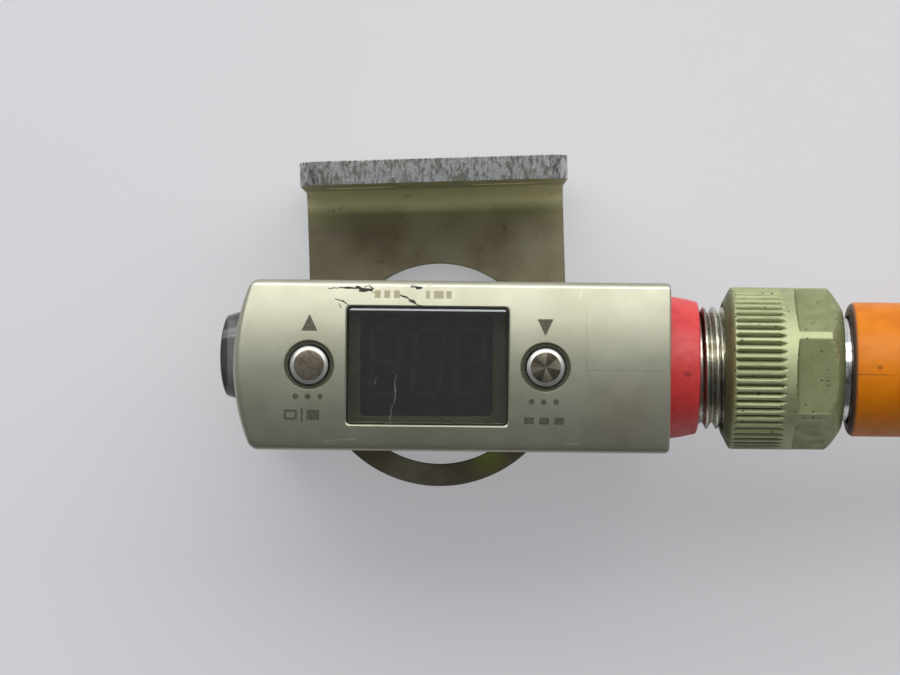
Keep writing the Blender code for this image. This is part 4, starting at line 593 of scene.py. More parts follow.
def greenChromate():
    given = nutFinish
    material, shader, place = newMaterial("green_chromated_zinc", Metallic=0.55)
    local = centred(place, connectorAxis)
    radius = reachOf(local, (0, 1, 1))
    cloud = noiseAt(local, 1.8, 5.0, 0.6)
    base = blend(band(cloud, 0.36, 0.66), given["green"], "#8F9569")
    wearAndHighlight = times(fade(radius, 7.80, 7.90), band(cloud, 0.30, 0.62, 0.15, 0.55))
    base = blend(wearAndHighlight, base, given["worn"])
    x = axes(local)[0]
    groove = times(fade(radius, 7.50, 7.80, 1.0, 0.0), between(x, 28.2, 28.6, 33.0, 33.5))
    collar = fade(x, 27.9, 28.3, 1.0, 0.0)  # the dirty chamfer by the thread
    pit = grains(local, 0.75, 0.08, 0.24, 0.62)
    for mask, share in ((groove, 0.8), (collar, 0.55), (pit, 0.75)):
        base = blend(times(mask, share), base, given["dirt"])
    setShader(shader, Base_Color=base, Roughness=band(cloud, 0.3, 0.7, 0.38, 0.55))
    addBump(shader, minus(noiseAt(local, 0.14, 4.0), pit), 0.03, 0.8)
    return material


# Red polyester ring, moulded: even, slightly waxy, with a grey smudge.
def redPolyester():
    material, shader, place = newMaterial(
        "red_polyester", Metallic=0.0, Subsurface_Weight=0.08, Subsurface_Scale=0.0006)
    cloud = noiseAt(place, 1.1, 4.0)
    base = blend(band(cloud, 0.35, 0.7), "#EC4A48", "#E13E42")
    smudge = reachOf(centred(place, (23.9, -0.4, axisHeight + 6.6)))
    dirty = times(fade(smudge, 0.1, 0.9, 0.7, 0.0), band(cloud, 0.4, 0.6))
    base = blend(dirty, base, "#7C3036")
    setShader(shader, Base_Color=base, Roughness=band(cloud, 0.3, 0.7, 0.34, 0.46))
    addBump(shader, noiseAt(place, 0.09), 0.008, 0.5)
    return material


# Orange polyurethane, over-moulded: satin, with a fine spark-eroded skin, a mould parting
# line down each side and a dark shoulder where it meets the nut.
gripFinish = {
    "orange": "#E68409",
    "deep": "#DA7906",
    "shoulder": "#4F4038",
    "shoulderEdge": (40.05, 40.45),
}


def orangePolyurethane():
    given = gripFinish
    material, shader, place = newMaterial("orange_polyurethane", Metallic=0.0, Subsurface_Weight=0.06,
                                          Subsurface_Scale=0.0008, Specular_IOR_Level=0.3)
    local = centred(place, connectorAxis)
    x, y = axes(local)[:2]
    cloud = noiseAt(local, 2.4, 5.0)
    base = blend(band(cloud, 0.35, 0.68), given["orange"], given["deep"])
    line = fade(mathNode("ABSOLUTE", plus(y, 0.42 * mm)), 0.03, 0.10, 1.0, 0.0)
    parting = times(line, fade(x, 42.6, 43.6, 1.0, 0.25))
    base = blend(times(parting, 0.45), base, "#7A420C")
    spot = distanceTo(local, (42.3, 0.25, 6.5))
    base = blend(fade(spot, 0.05, 0.35, 0.6, 0.0), base, "#4A2C12")
    dark = fade(plus(x, times(cloud, 0.12 * mm)), *given["shoulderEdge"], 1.0, 0.0)
    base = blend(dark, base, given["shoulder"])
    setShader(shader, Base_Color=base, Roughness=band(cloud, 0.3, 0.7, 0.34, 0.48))
    addBump(shader, plus(noiseAt(local, 0.11), times(parting, 2.0)), 0.012, 0.6)
    return material


# Turned aluminium keys: the right key keeps its radial facets from the lathe, the left one is
# rubbed and mottled by fingers.
def turnedAluminium(name, centre, facets):
    material, shader, place = newMaterial(name, Metallic=1.0)
    local = centred(place, centre)
    x, y, z = axes(local)
    radius = reachOf(local, (1, 1, 0))
    onTop = times(fade(radius, 1.39, 1.46, 1.0, 0.0), fade(z, -0.1, -0.03))
    cloud = noiseAt(local, 0.75, 5.0, 0.65)
    if facets:
        turn = mathNode("ARCTAN2", y, x)
        wave = mathNode("SINE", mathNode("MULTIPLY_ADD", turn, 4.0, 0.7))
        second = mathNode("SINE", mathNode("MULTIPLY_ADD", turn, 11.0, 2.1))
        rays = plus(times(wave, 0.7), times(second, 0.3))
        base = blend(band(rays, -0.5, 0.7), "#5A5448", "#9A9180")
    else:
        base = blend(band(cloud, 0.40, 0.62), "#998F7E", "#6F6556")
    setShader(shader, Base_Color=blend(onTop, "#D6D4CE", base), Metallic=band(onTop, 0.0, 1.0, 0.75, 1.0),
              Roughness=band(cloud, 0.3, 0.7, 0.24, 0.42))
    rings = mathNode("SINE", times(radius, 2 * math.pi / (0.12 * mm)))
    addBump(shader, plus(times(rings, 0.3), cloud), 0.008, 0.4)
    return material


# Printed ink, pad printed: flat olive-grey, slightly worn through.
def printedInk(name, code, wear):
    material, shader, place = newMaterial(name, Roughness=0.6)
    setShader(shader, Base_Color=blend(band(noiseAt(place, 0.16), 0.52, 0.66, 0.0, wear), code, "#A3A293"))
    return material


def cloudyFinish(name, size, detail, tones, rough, bump=None, **values):
    # a material whose colour and shine drift between two values
    material, shader, place = newMaterial(name, **values)
    cloud = noiseAt(place, size, detail)
    low, high, first, second = tones
    setShader(shader, Base_Color=blend(band(cloud, low, high), first, second),
              Roughness=band(cloud, 0.3, 0.7, *rough))
    if bump:
        grain, grainDetail, height, strength = bump
        addBump(shader, noiseAt(place, grain, grainDetail), height, strength)
    return material


# Plain moulded, pressed and laminated materials of the parts inside.
def plainFinish(name, first, second, size, rough, metallic=0.0, relief=0.01, coat=0.0):
    return cloudyFinish(name, size, 4.0, (0.38, 0.66, first, second), (rough - 0.05, rough + 0.08),
                        (size / 6, 3.0, relief, 0.5), Metallic=metallic, Coat_Weight=coat)


housingMetal = satinDieCast()
bracketSteel = stainedStainless()
# Rolled and turned small steel parts: bright grey, with fine turning rings.
screwMetal = cloudyFinish("zinc_plated_steel", 0.7, 4.0, (0.35, 0.7, "#B4B4B0", "#8E8B84"), (0.26, 0.42),
                          (0.08, 2.0, 0.01, 0.4), Metallic=1.0)
windowAcrylic = smokedAcrylic()
indicatorPlastic = smokedPolycarbonate()
# Float glass with a purple anti-reflection coating: clear, with a faint violet sheen.
beamGlass = cloudyFinish("coated_glass", 2.5, 3.0, (0.3, 0.7, "#D8CCDF", "#C9BCD6"), (0.02, 0.05), IOR=1.52,
                         Transmission_Weight=1.0, Coat_Weight=0.25, Coat_Roughness=0.03, Coat_Tint="#9C6BC0")
# Polished optical glass: colourless, with a slight haze of handling.
clearGlass = cloudyFinish("polished_lens_glass", 1.8, 3.0, (0.3, 0.7, "#F2F4F2", "#DFE6E4"), (0.01, 0.04),
                          IOR=1.52, Transmission_Weight=1.0)
sleeveMetal = nickelPlatedBrass()
barrelMetal = brightNickel()
nutMetal = greenChromate()
ringPlastic = redPolyester()
gripPlastic = orangePolyurethane()
nitrileRubber = plainFinish("nitrile_rubber", "#191919", "#232322", 0.6, 0.62)
solderMask = plainFinish("solder_mask_board", "#1E5A36", "#174A2C", 1.2, 0.38, relief=0.02, coat=0.3)
chipEpoxy = plainFinish("moulded_epoxy", "#26272A", "#1C1D20", 0.3, 0.5)
blackNylon = plainFinish("black_glass_filled_nylon", "#1B1B1C", "#262627", 0.4, 0.5)
goldPlate = plainFinish("gold_plated_contact", "#E0B65A", "#C99E45", 0.5, 0.24, metallic=1.0)
laserCan = plainFinish("gold_flashed_can", "#C9B27A", "#B49C66", 0.8, 0.22, metallic=1.0)
print("materials made")


def addSlab(name, low, high, corner, steps, axis=2):
    # a block whose edges along one axis are rounded
    slab = addBlock(name, low, high)
    bevelEdges(slab, along(axis), corner, steps)
    return slab


def addPanel(name, outline, grow, bottom, top, corner, steps):
    # an upright block on an outline of two (x, y) corners that is grown all round
    (x0, y0), (x1, y1) = outline
    return addSlab(name, (x0 - grow, y0 - grow, bottom), (x1 + grow, y1 + grow, top), corner, steps)


# The housing: a die-cast bar, crowned on its face and its left end, hollow inside.
housing = {
    "left": -openingFromLeft, "right": 21.7, "halfWidth": 8.0, "rim": 5.9, "face": 34.4,
    "crown": 27.0, "endCrown": 20.0, "leftCorner": 0.7, "rightCorner": 0.5,
    "sideRound": 0.44, "leftRound": 0.88, "leftRoundAtCorner": 0.34, "rightRound": 0.26,
    "strip": 0.4444,  # width of the lengthwise strips that carry the crown
    "edgeRings": (0.03, 0.06, 0.08, 0.11, 0.16), "leftSlices": (0.55, 0.7, 0.88, 3.2), "endDepth": 1.2,
    "cavity": ((-16.9, -6.6), (20.1, 6.6)), "ceiling": 32.0, "cavityCorner": 1.0,
    "rebate": 0.7, "rebateDepth": 0.9,
    "window": ((-8.7, -5.55), (6.5, 5.55)), "windowCorner": 0.45, "windowFlare": 0.13,
    "wellRadius": 2.3, "wellDepth": 0.5, "wellFlare": 0.09, "guideRadius": 1.975,
    "keys": housingFinish["keys"],
    "grooveRadius": 2.735, "groove": (32.7, 33.66),
    "sleeveHole": 5.65,
    "bosses": [(-15.1, -4.8), (-15.1, 4.8), (18.3, -4.8), (18.3, 4.8)],
    "bossRadius": 2.2, "bossTop": 9.7, "bossFoot": 7.9, "bossBore": 1.2,
}


def drop(crown, y):
    # how far a crowned surface has fallen at y millimetres from the middle
    return crown - math.sqrt(crown ** 2 - y ** 2)


def followCrown(piece, above):
    # lowers each vertex over a level as the face falls away at its side
    for vertex in piece.data.vertices:
        if vertex.co.z > above * mm:
            vertex.co.z -= drop(housing["crown"], vertex.co.y / mm) * mm


def followEnd(piece):
    # draws the left end's sides back
    for vertex in piece.data.vertices:
        if vertex.co.x < (housing["left"] + housing["endDepth"]) * mm:
            vertex.co.x += drop(housing["endCrown"], vertex.co.y / mm) * mm


def stripPlaces(limit):
    count = int(limit / housing["strip"] + 1e-6)
    return [housing["strip"] * step for step in range(-count, count + 1)]


def crownedBar(name, bottom, top):
    # the outline shared by housing and cover: square bar, rounded corners, crowned left end
    given = housing
    bar = addBlock(name, (given["left"], -given["halfWidth"], bottom), (given["right"], given["halfWidth"], top))
    upright = along(2)
    bevelEdges(bar, lambda edge: upright(edge) and edge.verts[0].co.x < 0, given["leftCorner"], 7)
    bevelEdges(bar, lambda edge: upright(edge) and edge.verts[0].co.x > 0, given["rightCorner"], 5)
    return bar


def edgeShape(x, y):
    # how far a point of the face lies in from its outline, and how wide the rounded edge is there
    given = housing
    atLeft = x < 0
    radius = given["leftCorner"] if atLeft else given["rightCorner"]
    past = given["left"] + radius - x if atLeft else x - given["right"] + radius
    aside = abs(y) - given["halfWidth"] + radius
    outward = Vector((max(past, 0), max(aside, 0)))
    inside = radius - outward.length - min(max(past, aside), 0)
    share = min(abs(y) / given["halfWidth"], 1) ** 2
    endWidth = given["rightRound"]
    if atLeft:
        endWidth = given["leftRound"] + (given["leftRoundAtCorner"] - given["leftRound"]) * share
    if outward.length > 0:
        endShare = (outward.x / outward.length) ** 2
    else:
        endShare = 1.0 if past > aside else 0.0
    return inside, given["sideRound"] + (endWidth - given["sideRound"]) * endShare


def roundFaceEdge(piece):
    # lowers the rings of vertices round the face until its edge is a quarter round
    for vertex in piece.data.vertices:
        if vertex.co.z > (housing["face"] - 0.01) * mm:
            inside, width = edgeShape(vertex.co.x / mm, vertex.co.y / mm)
            share = 1 - limited(inside / width)
            vertex.co.z -= width * (1 - math.sqrt(1 - share ** 2)) * mm


def windowTool():
    # the window's outline as a block that opens out by 45 degrees through the face
    given = housing
    (x0, y0), (x1, y1) = given["window"]
    start = given["face"] - given["windowFlare"]
    tool = addPanel("window_tool", given["window"], 0, given["ceiling"] - 1, start, given["windowCorner"], 4)
    reach = 1.2
    pick(tool, "FACE", facesUp)
    extrude((0, 0, reach))
    wide = ((x1 - x0 + 2 * reach) / (x1 - x0), (y1 - y0 + 2 * reach) / (y1 - y0), 1)
    middle = ((x0 + x1) / 2, (y0 + y1) / 2, start)
    bpy.ops.transform.resize(value=wide, center_override=inMetres(middle))
    bpy.ops.object.mode_set(mode="OBJECT")
    bisectAt(tool, 1, stripPlaces(5.3))
    followCrown(tool, start - 0.01)
    return tool


def housingShell():
    given = housing
    rim, face, ceiling = given["rim"], given["face"], given["ceiling"]
    shell = crownedBar("housing_shell", rim, face)
    pick(shell, "FACE", facesUp)
    for ring in given["edgeRings"]:
        bpy.ops.mesh.inset(thickness=ring * mm, depth=0, use_even_offset=True)
    bpy.ops.object.mode_set(mode="OBJECT")
    bisectAt(shell, 1, stripPlaces(7.2))
    bisectAt(shell, 0, [given["left"] + place for place in given["leftSlices"]])
    roundFaceEdge(shell)
    followCrown(shell, face - 1.5)
    followEnd(shell)

    corner, edge = given["cavityCorner"], given["rebate"]
    cut(shell, addPanel("cavity", given["cavity"], 0, rim - 1, ceiling, corner, 4))
    cut(shell, addPanel("rebate", given["cavity"], edge, rim - 1, rim + given["rebateDepth"], corner + edge, 5))
    foot, top = given["bossFoot"], given["bossTop"]
    for x, y in given["bosses"]:
        cut(shell, addRod("boss", foot, top, given["bossRadius"], 2, (x, y, 0), 32), "UNION")
        cut(shell, addRod("bore", foot - 1, top + 1, given["bossBore"], 2, (x, y, 0), 24))

    cut(shell, windowTool())
    wellFloor, flareLevel = face - given["wellDepth"], face - given["wellFlare"]
    low, high = given["groove"]
    guide, groove, wide = given["guideRadius"], given["grooveRadius"], given["wellRadius"]
    profile = [
        (ceiling - 1, 0), (ceiling - 1, guide), (low, guide), (low, groove), (high, groove), (high, guide),
        (wellFloor - 0.05, guide), (wellFloor, guide + 0.05), (wellFloor, wide), (flareLevel, wide),
        (flareLevel + 0.6, wide + 0.6), (flareLevel + 0.6, 0),
    ]
    for x in given["keys"]:
        well = spinProfile("well", profile, 2, (x, 0, 0), 72)
        followCrown(well, flareLevel - 0.01)
        cut(shell, well)

    (left, _), (right, _) = given["cavity"]
    cut(shell, indicatorBlock("indicator_hole", 0.2, given["left"] - 1, left + 1))
    cut(shell, addRod("sleeve_hole", right - 1, given["right"] + 1, given["sleeveHole"], 0, connectorAxis, 72))
    return finishPiece(shell, "sensor", "housing_metal", housingMetal, "housing", angle=28)


def indicatorBlock(name, grow, left, right):
    middle = indicator["offset"]
    half, tall = indicator["width"] / 2 + grow, indicator["height"] / 2 + grow
    return addSlab(name, (left, middle - half, axisHeight - tall), (right, middle + half, axisHeight + tall),
                   indicator["corner"] + grow, 8, axis=0)


def indicatorLens():
    given = indicator
    offset, bulge = given["offset"], given["bulge"]
    flangeRight = (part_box("indicator_lens")[1].x - origin.x) / mm
    lens = indicatorBlock("indicator_lens_piece", 0, given["front"], flangeRight - 0.1)
    half, frontHalf = given["width"] / 2, given["frontWidth"] / 2
    bisectAt(lens, 1, [offset + half * step / 10 for step in range(-9, 10)])
    bisectAt(lens, 0, [given["shoulder"]])
    ball = (frontHalf ** 2 + bulge ** 2) / (2 * bulge)
    for vertex in lens.data.vertices:  # draws the front in to its width and bulges it
        if vertex.co.x < (given["front"] + 0.01) * mm:
            aside = (vertex.co.y / mm - offset) * frontHalf / half
            vertex.co.y = (offset + aside) * mm
            vertex.co.x += drop(ball, aside) * mm
    softEdges(lens, given["edge"], 40, 3)
    flangeLeft = flangeRight - given["flangeThickness"]
    cut(lens, indicatorBlock("flange", given["flange"], flangeLeft, flangeRight), "UNION")
    return finishPiece(lens, "sensor", "indicator_smoked", indicatorPlastic, "indicator_lens")


housingShell()
indicatorLens()
print("housing and indicator lens made")


# The display: a polished window, a printed mask under it, and the display module with
# unlit digits behind.
display = {
    "windowGap": 0.2, "windowDrop": 0.10, "windowBottom": 30.4, "windowCorner": 0.3, "edge": 0.16,
    "flange": 0.7, "flangeTop": 31.0, "flangeCorner": 0.6,
    "opening": ((-7.42, -4.63), (4.92, 4.65)), "openingCorner": 0.5,
    "maskThickness": 0.2,
    "digitHeight": 5.9, "digitWidth": 2.5, "digitPitch": 3.95, "firstDigit": -5.1, "digitMiddle": 0.35,
    "segment": 0.52, "lean": 0.06,
}


def displayWindow():
    given = display
    outline, bottom = housing["window"], given["windowBottom"]
    top = housing["face"] - drop(housing["crown"], outline[1][1]) - given["windowDrop"]
    window = addPanel("display_window_piece", outline, -given["windowGap"], bottom + 0.3, top,
                      given["windowCorner"], 4)
    bevelEdges(window, lambda edge: min(v.co.z for v in edge.verts) > (top - 0.01) * mm, given["edge"], 3)
    cut(window, addPanel("flange", outline, given["flange"], bottom, given["flangeTop"], given["flangeCorner"], 4),
        "UNION")
    return finishPiece(window, "sensor", "window_smoked", windowAcrylic, "display_window")


def displayMask():
    # the printed border on the window's underside, which frames the digits
    given = display
    (x0, y0), (x1, y1) = housing["window"]
    wide = given["flange"] - 0.2
    top = given["windowBottom"] - 0.03
    mask = addBlock("display_mask", (x0 - wide, y0 - wide, top - given["maskThickness"]),
                    (x1 + wide, y1 + wide, top))
    cut(mask, addPanel("opening", given["opening"], 0, top - 1, top + 1, given["openingCorner"], 5))
    softEdges(mask, 0.03)
    return finishPiece(mask, "sensor", "window_smoked", maskInk)


def displayModule():
    module = addSlab("display_module_piece", *localBox("display_module"), 0.4, 3)
    work(module, "FACE", facesUp, bpy.ops.mesh.inset, thickness=0.22 * mm, depth=0)
    pick(module, "FACE", lambda face: facesUp(face) and face.calc_area() > 60 * mm * mm)
    extrude((0, 0, -0.25))
    bpy.ops.object.mode_set(mode="OBJECT")
    return finishPiece(module, "sensor", "black_moulding", displayPlastic, "display_module")


def displayDigits():
    # one segment is a bar with pointed ends; the digits are copies of it
    given = display
    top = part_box("display_module")[1].z / mm - 0.20
    thin, tall, wide = given["segment"], given["digitHeight"] / 2, given["digitWidth"] / 2
    half = tall / 2 - thin * 0.18
    bar = addSlab("segment", (-thin / 2, -half, 0), (thin / 2, half, 0.05), thin * 0.48, 1)
    flat = Matrix.Rotation(math.pi / 2, 4, "Z") @ Matrix.Scale(wide / half * 0.82, 4, (0, 1, 0))
    pieces = []
    for digit in range(3):
        x = given["firstDigit"] + digit * given["digitPitch"]
        uprights = [(side * wide, level / 2, Matrix()) for side in (-1, 1) for level in (-1, 1)]
        levels = [(0, level, flat) for level in (-1, 0, 1)]
        for aside, level, turn in uprights + levels:
            spot = (x + aside + given["lean"] * level * tall, given["digitMiddle"] + level * tall, top)
            pieces.append(twin(bar, Matrix.Translation(Vector(spot) * mm) @ turn))
    bpy.data.objects.remove(bar)
    digits = joinAll("display_digits", pieces)
    return finishPiece(digits, "sensor", "black_moulding", digitPlastic)


maskInk = printedInk("screen_printed_mask", "#56573F", 0.12)
displayPlastic = plainFinish("display_polariser", "#181915", "#141512", 2.0, 0.35, relief=0.004)
digitPlastic = plainFinish("unlit_segments", "#2A2C25", "#252721", 1.0, 0.5, relief=0.004)
displayWindow()
displayMask()
displayModule()
displayDigits()


# The keys: turned, with a bright chamfer round a flat top.
key = {"radius": 1.775, "topRadius": 1.45, "stand": 0.3, "flangeRadius": 2.3, "flangeTop": 31.7, "flange": 0.6}


def pushKey(word, x, facets):
    radius, topRadius, wide, flangeTop = key["radius"], key["topRadius"], key["flangeRadius"], key["flangeTop"]
    top = housing["face"] + key["stand"]
    bottom = flangeTop - key["flange"]
    profile = [
        (top - 0.015, 0), (top, 0.25), (top, topRadius - 0.12), (top - 0.02, topRadius - 0.03),
        (top - 0.03, topRadius), (top - 0.12, radius - 0.16), (top - 0.18, radius - 0.06), (top - 0.26, radius),
        (flangeTop + 0.1, radius), (flangeTop, radius + 0.1), (flangeTop, wide - 0.05), (flangeTop - 0.05, wide),
        (bottom + 0.05, wide), (bottom, wide - 0.05), (bottom, 0),
    ]
    piece = spinProfile(word + "_button_piece", profile, 2, (x, 0, 0), 96)
    metal = turnedAluminium(word + "_turned_aluminium", (x, 0, top), facets)
    return finishPiece(piece, word + "_key", "button_metal", metal, word + "_button")


pushKey("up", housing["keys"][0], False)
pushKey("down", housing["keys"][1], True)
print("display and keys made")


# The print on the face, as thin films that follow the crown: an arrow over each key, and
# plain dots and bars where small print would be.
prints = {"proud": 0.012, "sink": 0.02, "arrow": 1.5, "dot": 0.27, "dotPitch": 1.15, "ink": "#4F4C3A",
          "low": -5.15, "tall": 0.95, "faintInk": "#B1AB84", "faint": (6.35, 7.05)}
inkBottom, inkTop = housing["face"] - prints["sink"], housing["face"] + prints["proud"]


def printBlock(name, low, high, strips=4):
    # a small flat film, cut into narrow strips so that it can follow the crown
    block = addBlock(name, (*low, inkBottom), (*high, inkTop))
    bisectAt(block, 1, [low[1] + (high[1] - low[1]) * step / strips for step in range(1, strips)])
    return block


def printArrow(x, y, up):
    half = prints["arrow"] / 2
    block = addBlock("arrow", (x - half, y - half, inkBottom), (x + half, y + half, inkTop))
    tip = (y + half * (1 if up else -1)) * mm
    work(block, "VERT", lambda vertex: abs(vertex.co.y - tip) < 1e-6, bpy.ops.transform.resize,
         value=(0.06, 1, 1), center_override=(x * mm, y * mm, 0))
    bisectAt(block, 1, [y - half + 2 * half * step / 5 for step in (1, 2, 3, 4)])
    return block


def printHollow(low, high, wall):
    block = printBlock("box", low, high)
    cut(block, addBlock("inside", (low[0] + wall, low[1] + wall, inkBottom - 1),
                        (high[0] - wall, high[1] - wall, inkTop + 1)))
    return block


def finishPrint(name, films, ink):
    marks = joinAll(name, films)
    followCrown(marks, housing["ceiling"])
    finishPiece(marks, "sensor", "black_moulding", ink)


def facePrint():
    left, right = housing["keys"]
    low, high = prints["low"], prints["low"] + prints["tall"]
    films = [printArrow(left, 3.95, True), printArrow(right - 0.05, 3.75, False)]
    for x, y in ((left - 0.1, -2.95), (right - 0.15, -3.25)):
        films += [addRod("dot", inkBottom, inkTop, prints["dot"], 2, (x + step * prints["dotPitch"], y, 0), 20)
                  for step in (-1, 0, 1)]
    films.append(printHollow((left - 2.3, low), (left - 1.1, high), 0.2))
    films.append(printBlock("stroke", (left - 0.75, low - 0.15), (left - 0.55, high + 0.15)))
    films.append(printBlock("box", (left - 0.2, low), (left + 1.0, high)))
    for step in range(3):
        x = right - 1.95 + step * 1.4
        films.append(printBlock("bar", (x, low - 0.2), (x + 0.9, high - 0.5)))
    finishPrint("printed_marks", films, printedInk("pad_printed_ink", prints["ink"], 0.3))

    bottom, top = prints["faint"]
    faint = [printBlock("bar", (x, bottom), (x + size, top)) for x, size in
             ((-6.1, 0.55), (-5.2, 0.55), (-4.3, 0.55), (-1.3, 0.35), (-0.55, 0.9), (0.6, 0.5))]
    finishPrint("printed_marks_above", faint, printedInk("worn_printed_ink", prints["faintInk"], 0.55))


facePrint()


# The beam cover under the housing, with its window, lenses and screws.
cover = {
    "bottom": 2.6, "top": 5.6, "spigotTop": 7.6, "spigotGap": 0.3, "edge": 0.35,
    "window": ((-7.0, -5.5), (7.0, 5.5)), "windowCorner": 1.0, "windowGap": 0.3, "ledge": 0.8, "ledgeTop": 4.2,
    "screw": {"low": 2.6, "length": 6.9, "shank": 1.0, "head": 1.9},
    "bracketScrew": {"low": 0.2, "length": 6.5, "shank": 1.25, "head": 2.25}, "bracketScrews": 10.25,
    "lensBulge": 0.8,
}


def screwHoleTool(x, y, grow, low, length, shank, head):
    cone = head - shank
    points = [(low + length + grow, 0), (low + length + grow, shank + grow), (low + cone, shank + grow),
              (low, head + grow), (low - 1, head + grow), (low - 1, 0)]
    return spinProfile("screw_hole", points, 2, (x, y, 0), 40)


def beamCover():
    given = cover
    bottom, top, ledge = given["bottom"], given["top"], given["ledge"]
    plate = crownedBar("beam_cover_piece", bottom, top)
    bisectAt(plate, 1, stripPlaces(7.2))
    followEnd(plate)

    def lowerEdges(edge):
        return max(v.co.z for v in edge.verts) < (bottom + 0.01) * mm and any(
            abs(face.normal.z) < 0.5 for face in edge.link_faces)
    bevelEdges(plate, lowerEdges, given["edge"], 3)
    gap, corner = given["spigotGap"], given["windowCorner"]
    cut(plate, addPanel("spigot", housing["cavity"], -gap, top - 0.5, given["spigotTop"],
                        housing["cavityCorner"] - gap, 4), "UNION")
    cut(plate, addPanel("aperture", given["window"], -ledge, 0, 9, corner, 5))
    wide = given["windowGap"]
    cut(plate, addPanel("seat", given["window"], wide, given["ledgeTop"], 9, corner + wide, 5))
    for x, y in housing["bosses"]:
        cut(plate, screwHoleTool(x, y, 0.2, **given["screw"]))
    screw = given["bracketScrew"]
    for side in (-1, 1):
        # the bracket sits at a slight angle to the sensor, and its screws with it
        away = side * given["bracketScrews"]
        centre = (away * math.cos(bracketYaw), away * math.sin(bracketYaw), 0)
        cut(plate, addRod("bore", 1, screw["low"] + screw["length"] + 0.3, screw["shank"] + 0.2, 2, centre, 40))
    return finishPiece(plate, "sensor", "housing_metal", housingMetal, "beam_cover", angle=28)


def beamWindow():
    glass = addSlab("beam_window_piece", *localBox("beam_window"), cover["windowCorner"], 6)
    softEdges(glass, 0.08)
    return finishPiece(glass, "sensor", "beam_glass", beamGlass, "beam_window")


def lensPiece(node):
    low, high = localBox(node)
    bulge, radius = cover["lensBulge"], (high.x - low.x) / 2
    ball = (radius ** 2 + bulge ** 2) / (2 * bulge)
    points = roundCorner((high.z - ball, 0), ball, 0, math.degrees(math.asin(radius / ball)), 12)
    points += [(low.z + 0.06, radius), (low.z, radius - 0.06), (low.z, 0)]
    middle = (low + high) / 2
    piece = spinProfile(node + "_piece", points, 2, (middle.x, middle.y, 0), 64)
    return finishPiece(piece, "sensor", "lens_clear", clearGlass, node)


def screwPiece(node, low, length, shank, head):
    cone, tip = head - shank, low + length
    points = [(tip, 0), (tip, shank - 0.25), (tip - 0.25, shank)]
    for number in range(int((length - cone - 0.6) / 0.4)):  # rolled thread, one ring to each turn
        z = tip - 0.3 - number * 0.4
        points += [(z, shank), (z - 0.13, shank - 0.1), (z - 0.27, shank - 0.1)]
    points += [(low + cone, shank), (low + 0.15, head - 0.1), (low + 0.05, head), (low, head - 0.06), (low, 0)]
    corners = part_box(node)
    x, y, z = ((corners[0] + corners[1]) / 2 - origin) / mm
    screw = spinProfile(node + "_piece", points, 2, (x, y, 0), 48)
    bpy.ops.object.select_all(action="DESELECT")
    bpy.ops.mesh.primitive_cylinder_add(vertices=6, radius=shank * 0.65 * mm, depth=2 * cone * mm,
                                        location=(x * mm, y * mm, low * mm))
    cut(screw, settle("socket"))
    return finishPiece(screw, "sensor", "screw_steel", screwMetal, node)


bracketYaw = math.radians(bracketFinish["yaw"])
beamCover()
beamWindow()
lensPiece("collimating_lens")
lensPiece("receiver_lens")
for number in range(1, 5):
    screwPiece(f"cover_screw_{number}", **cover["screw"])
for word in ("left", "right"):
    screwPiece(f"bracket_screw_{word}", **cover["bracketScrew"])
print("beam side made")


# The bracket: one plate with a round end and an opening, bent up into a leg with two slots.
bracket = {
    "thickness": 2.3, "width": 26.0, "reach": 12.45, "bend": 2.3, "legOuter": 20.0, "legTop": 23.3,
    "corner": bracketFinish["corner"], "openingRadius": 10.25, "openingFlat": 7.5,
    "slotSpacing": 15.0, "slotWidth": 3.4, "slotLength": 8.0, "slotHeight": 13.0,
    "edge": 0.16,
}


def bentPlate():
    # the base runs back to the bend, turns up round it and rises into the leg
    given = bracket
    half, thick, bend = given["width"] / 2, given["thickness"], given["bend"]
    bendStart = given["legOuter"] - thick - bend
    plate = addBlock("bracket_plate", (-half, -given["reach"] - 1, 0), (half, 0, thick))
    pick(plate, "FACE", lambda face: face.normal.y > 0.9)
    extrude((0, bendStart, 0))
    centre = inMetres((0, bendStart, thick + bend))
    bpy.ops.mesh.spin(steps=14, angle=-math.pi / 2, center=centre, axis=(1, 0, 0))
    extrude((0, 0, given["legTop"] - thick - bend))
    bpy.ops.mesh.select_all(action="SELECT")
    bpy.ops.mesh.remove_doubles(threshold=1e-6)
    bpy.ops.mesh.normals_make_consistent(inside=False)
    bpy.ops.object.mode_set(mode="OBJECT")
    return plate


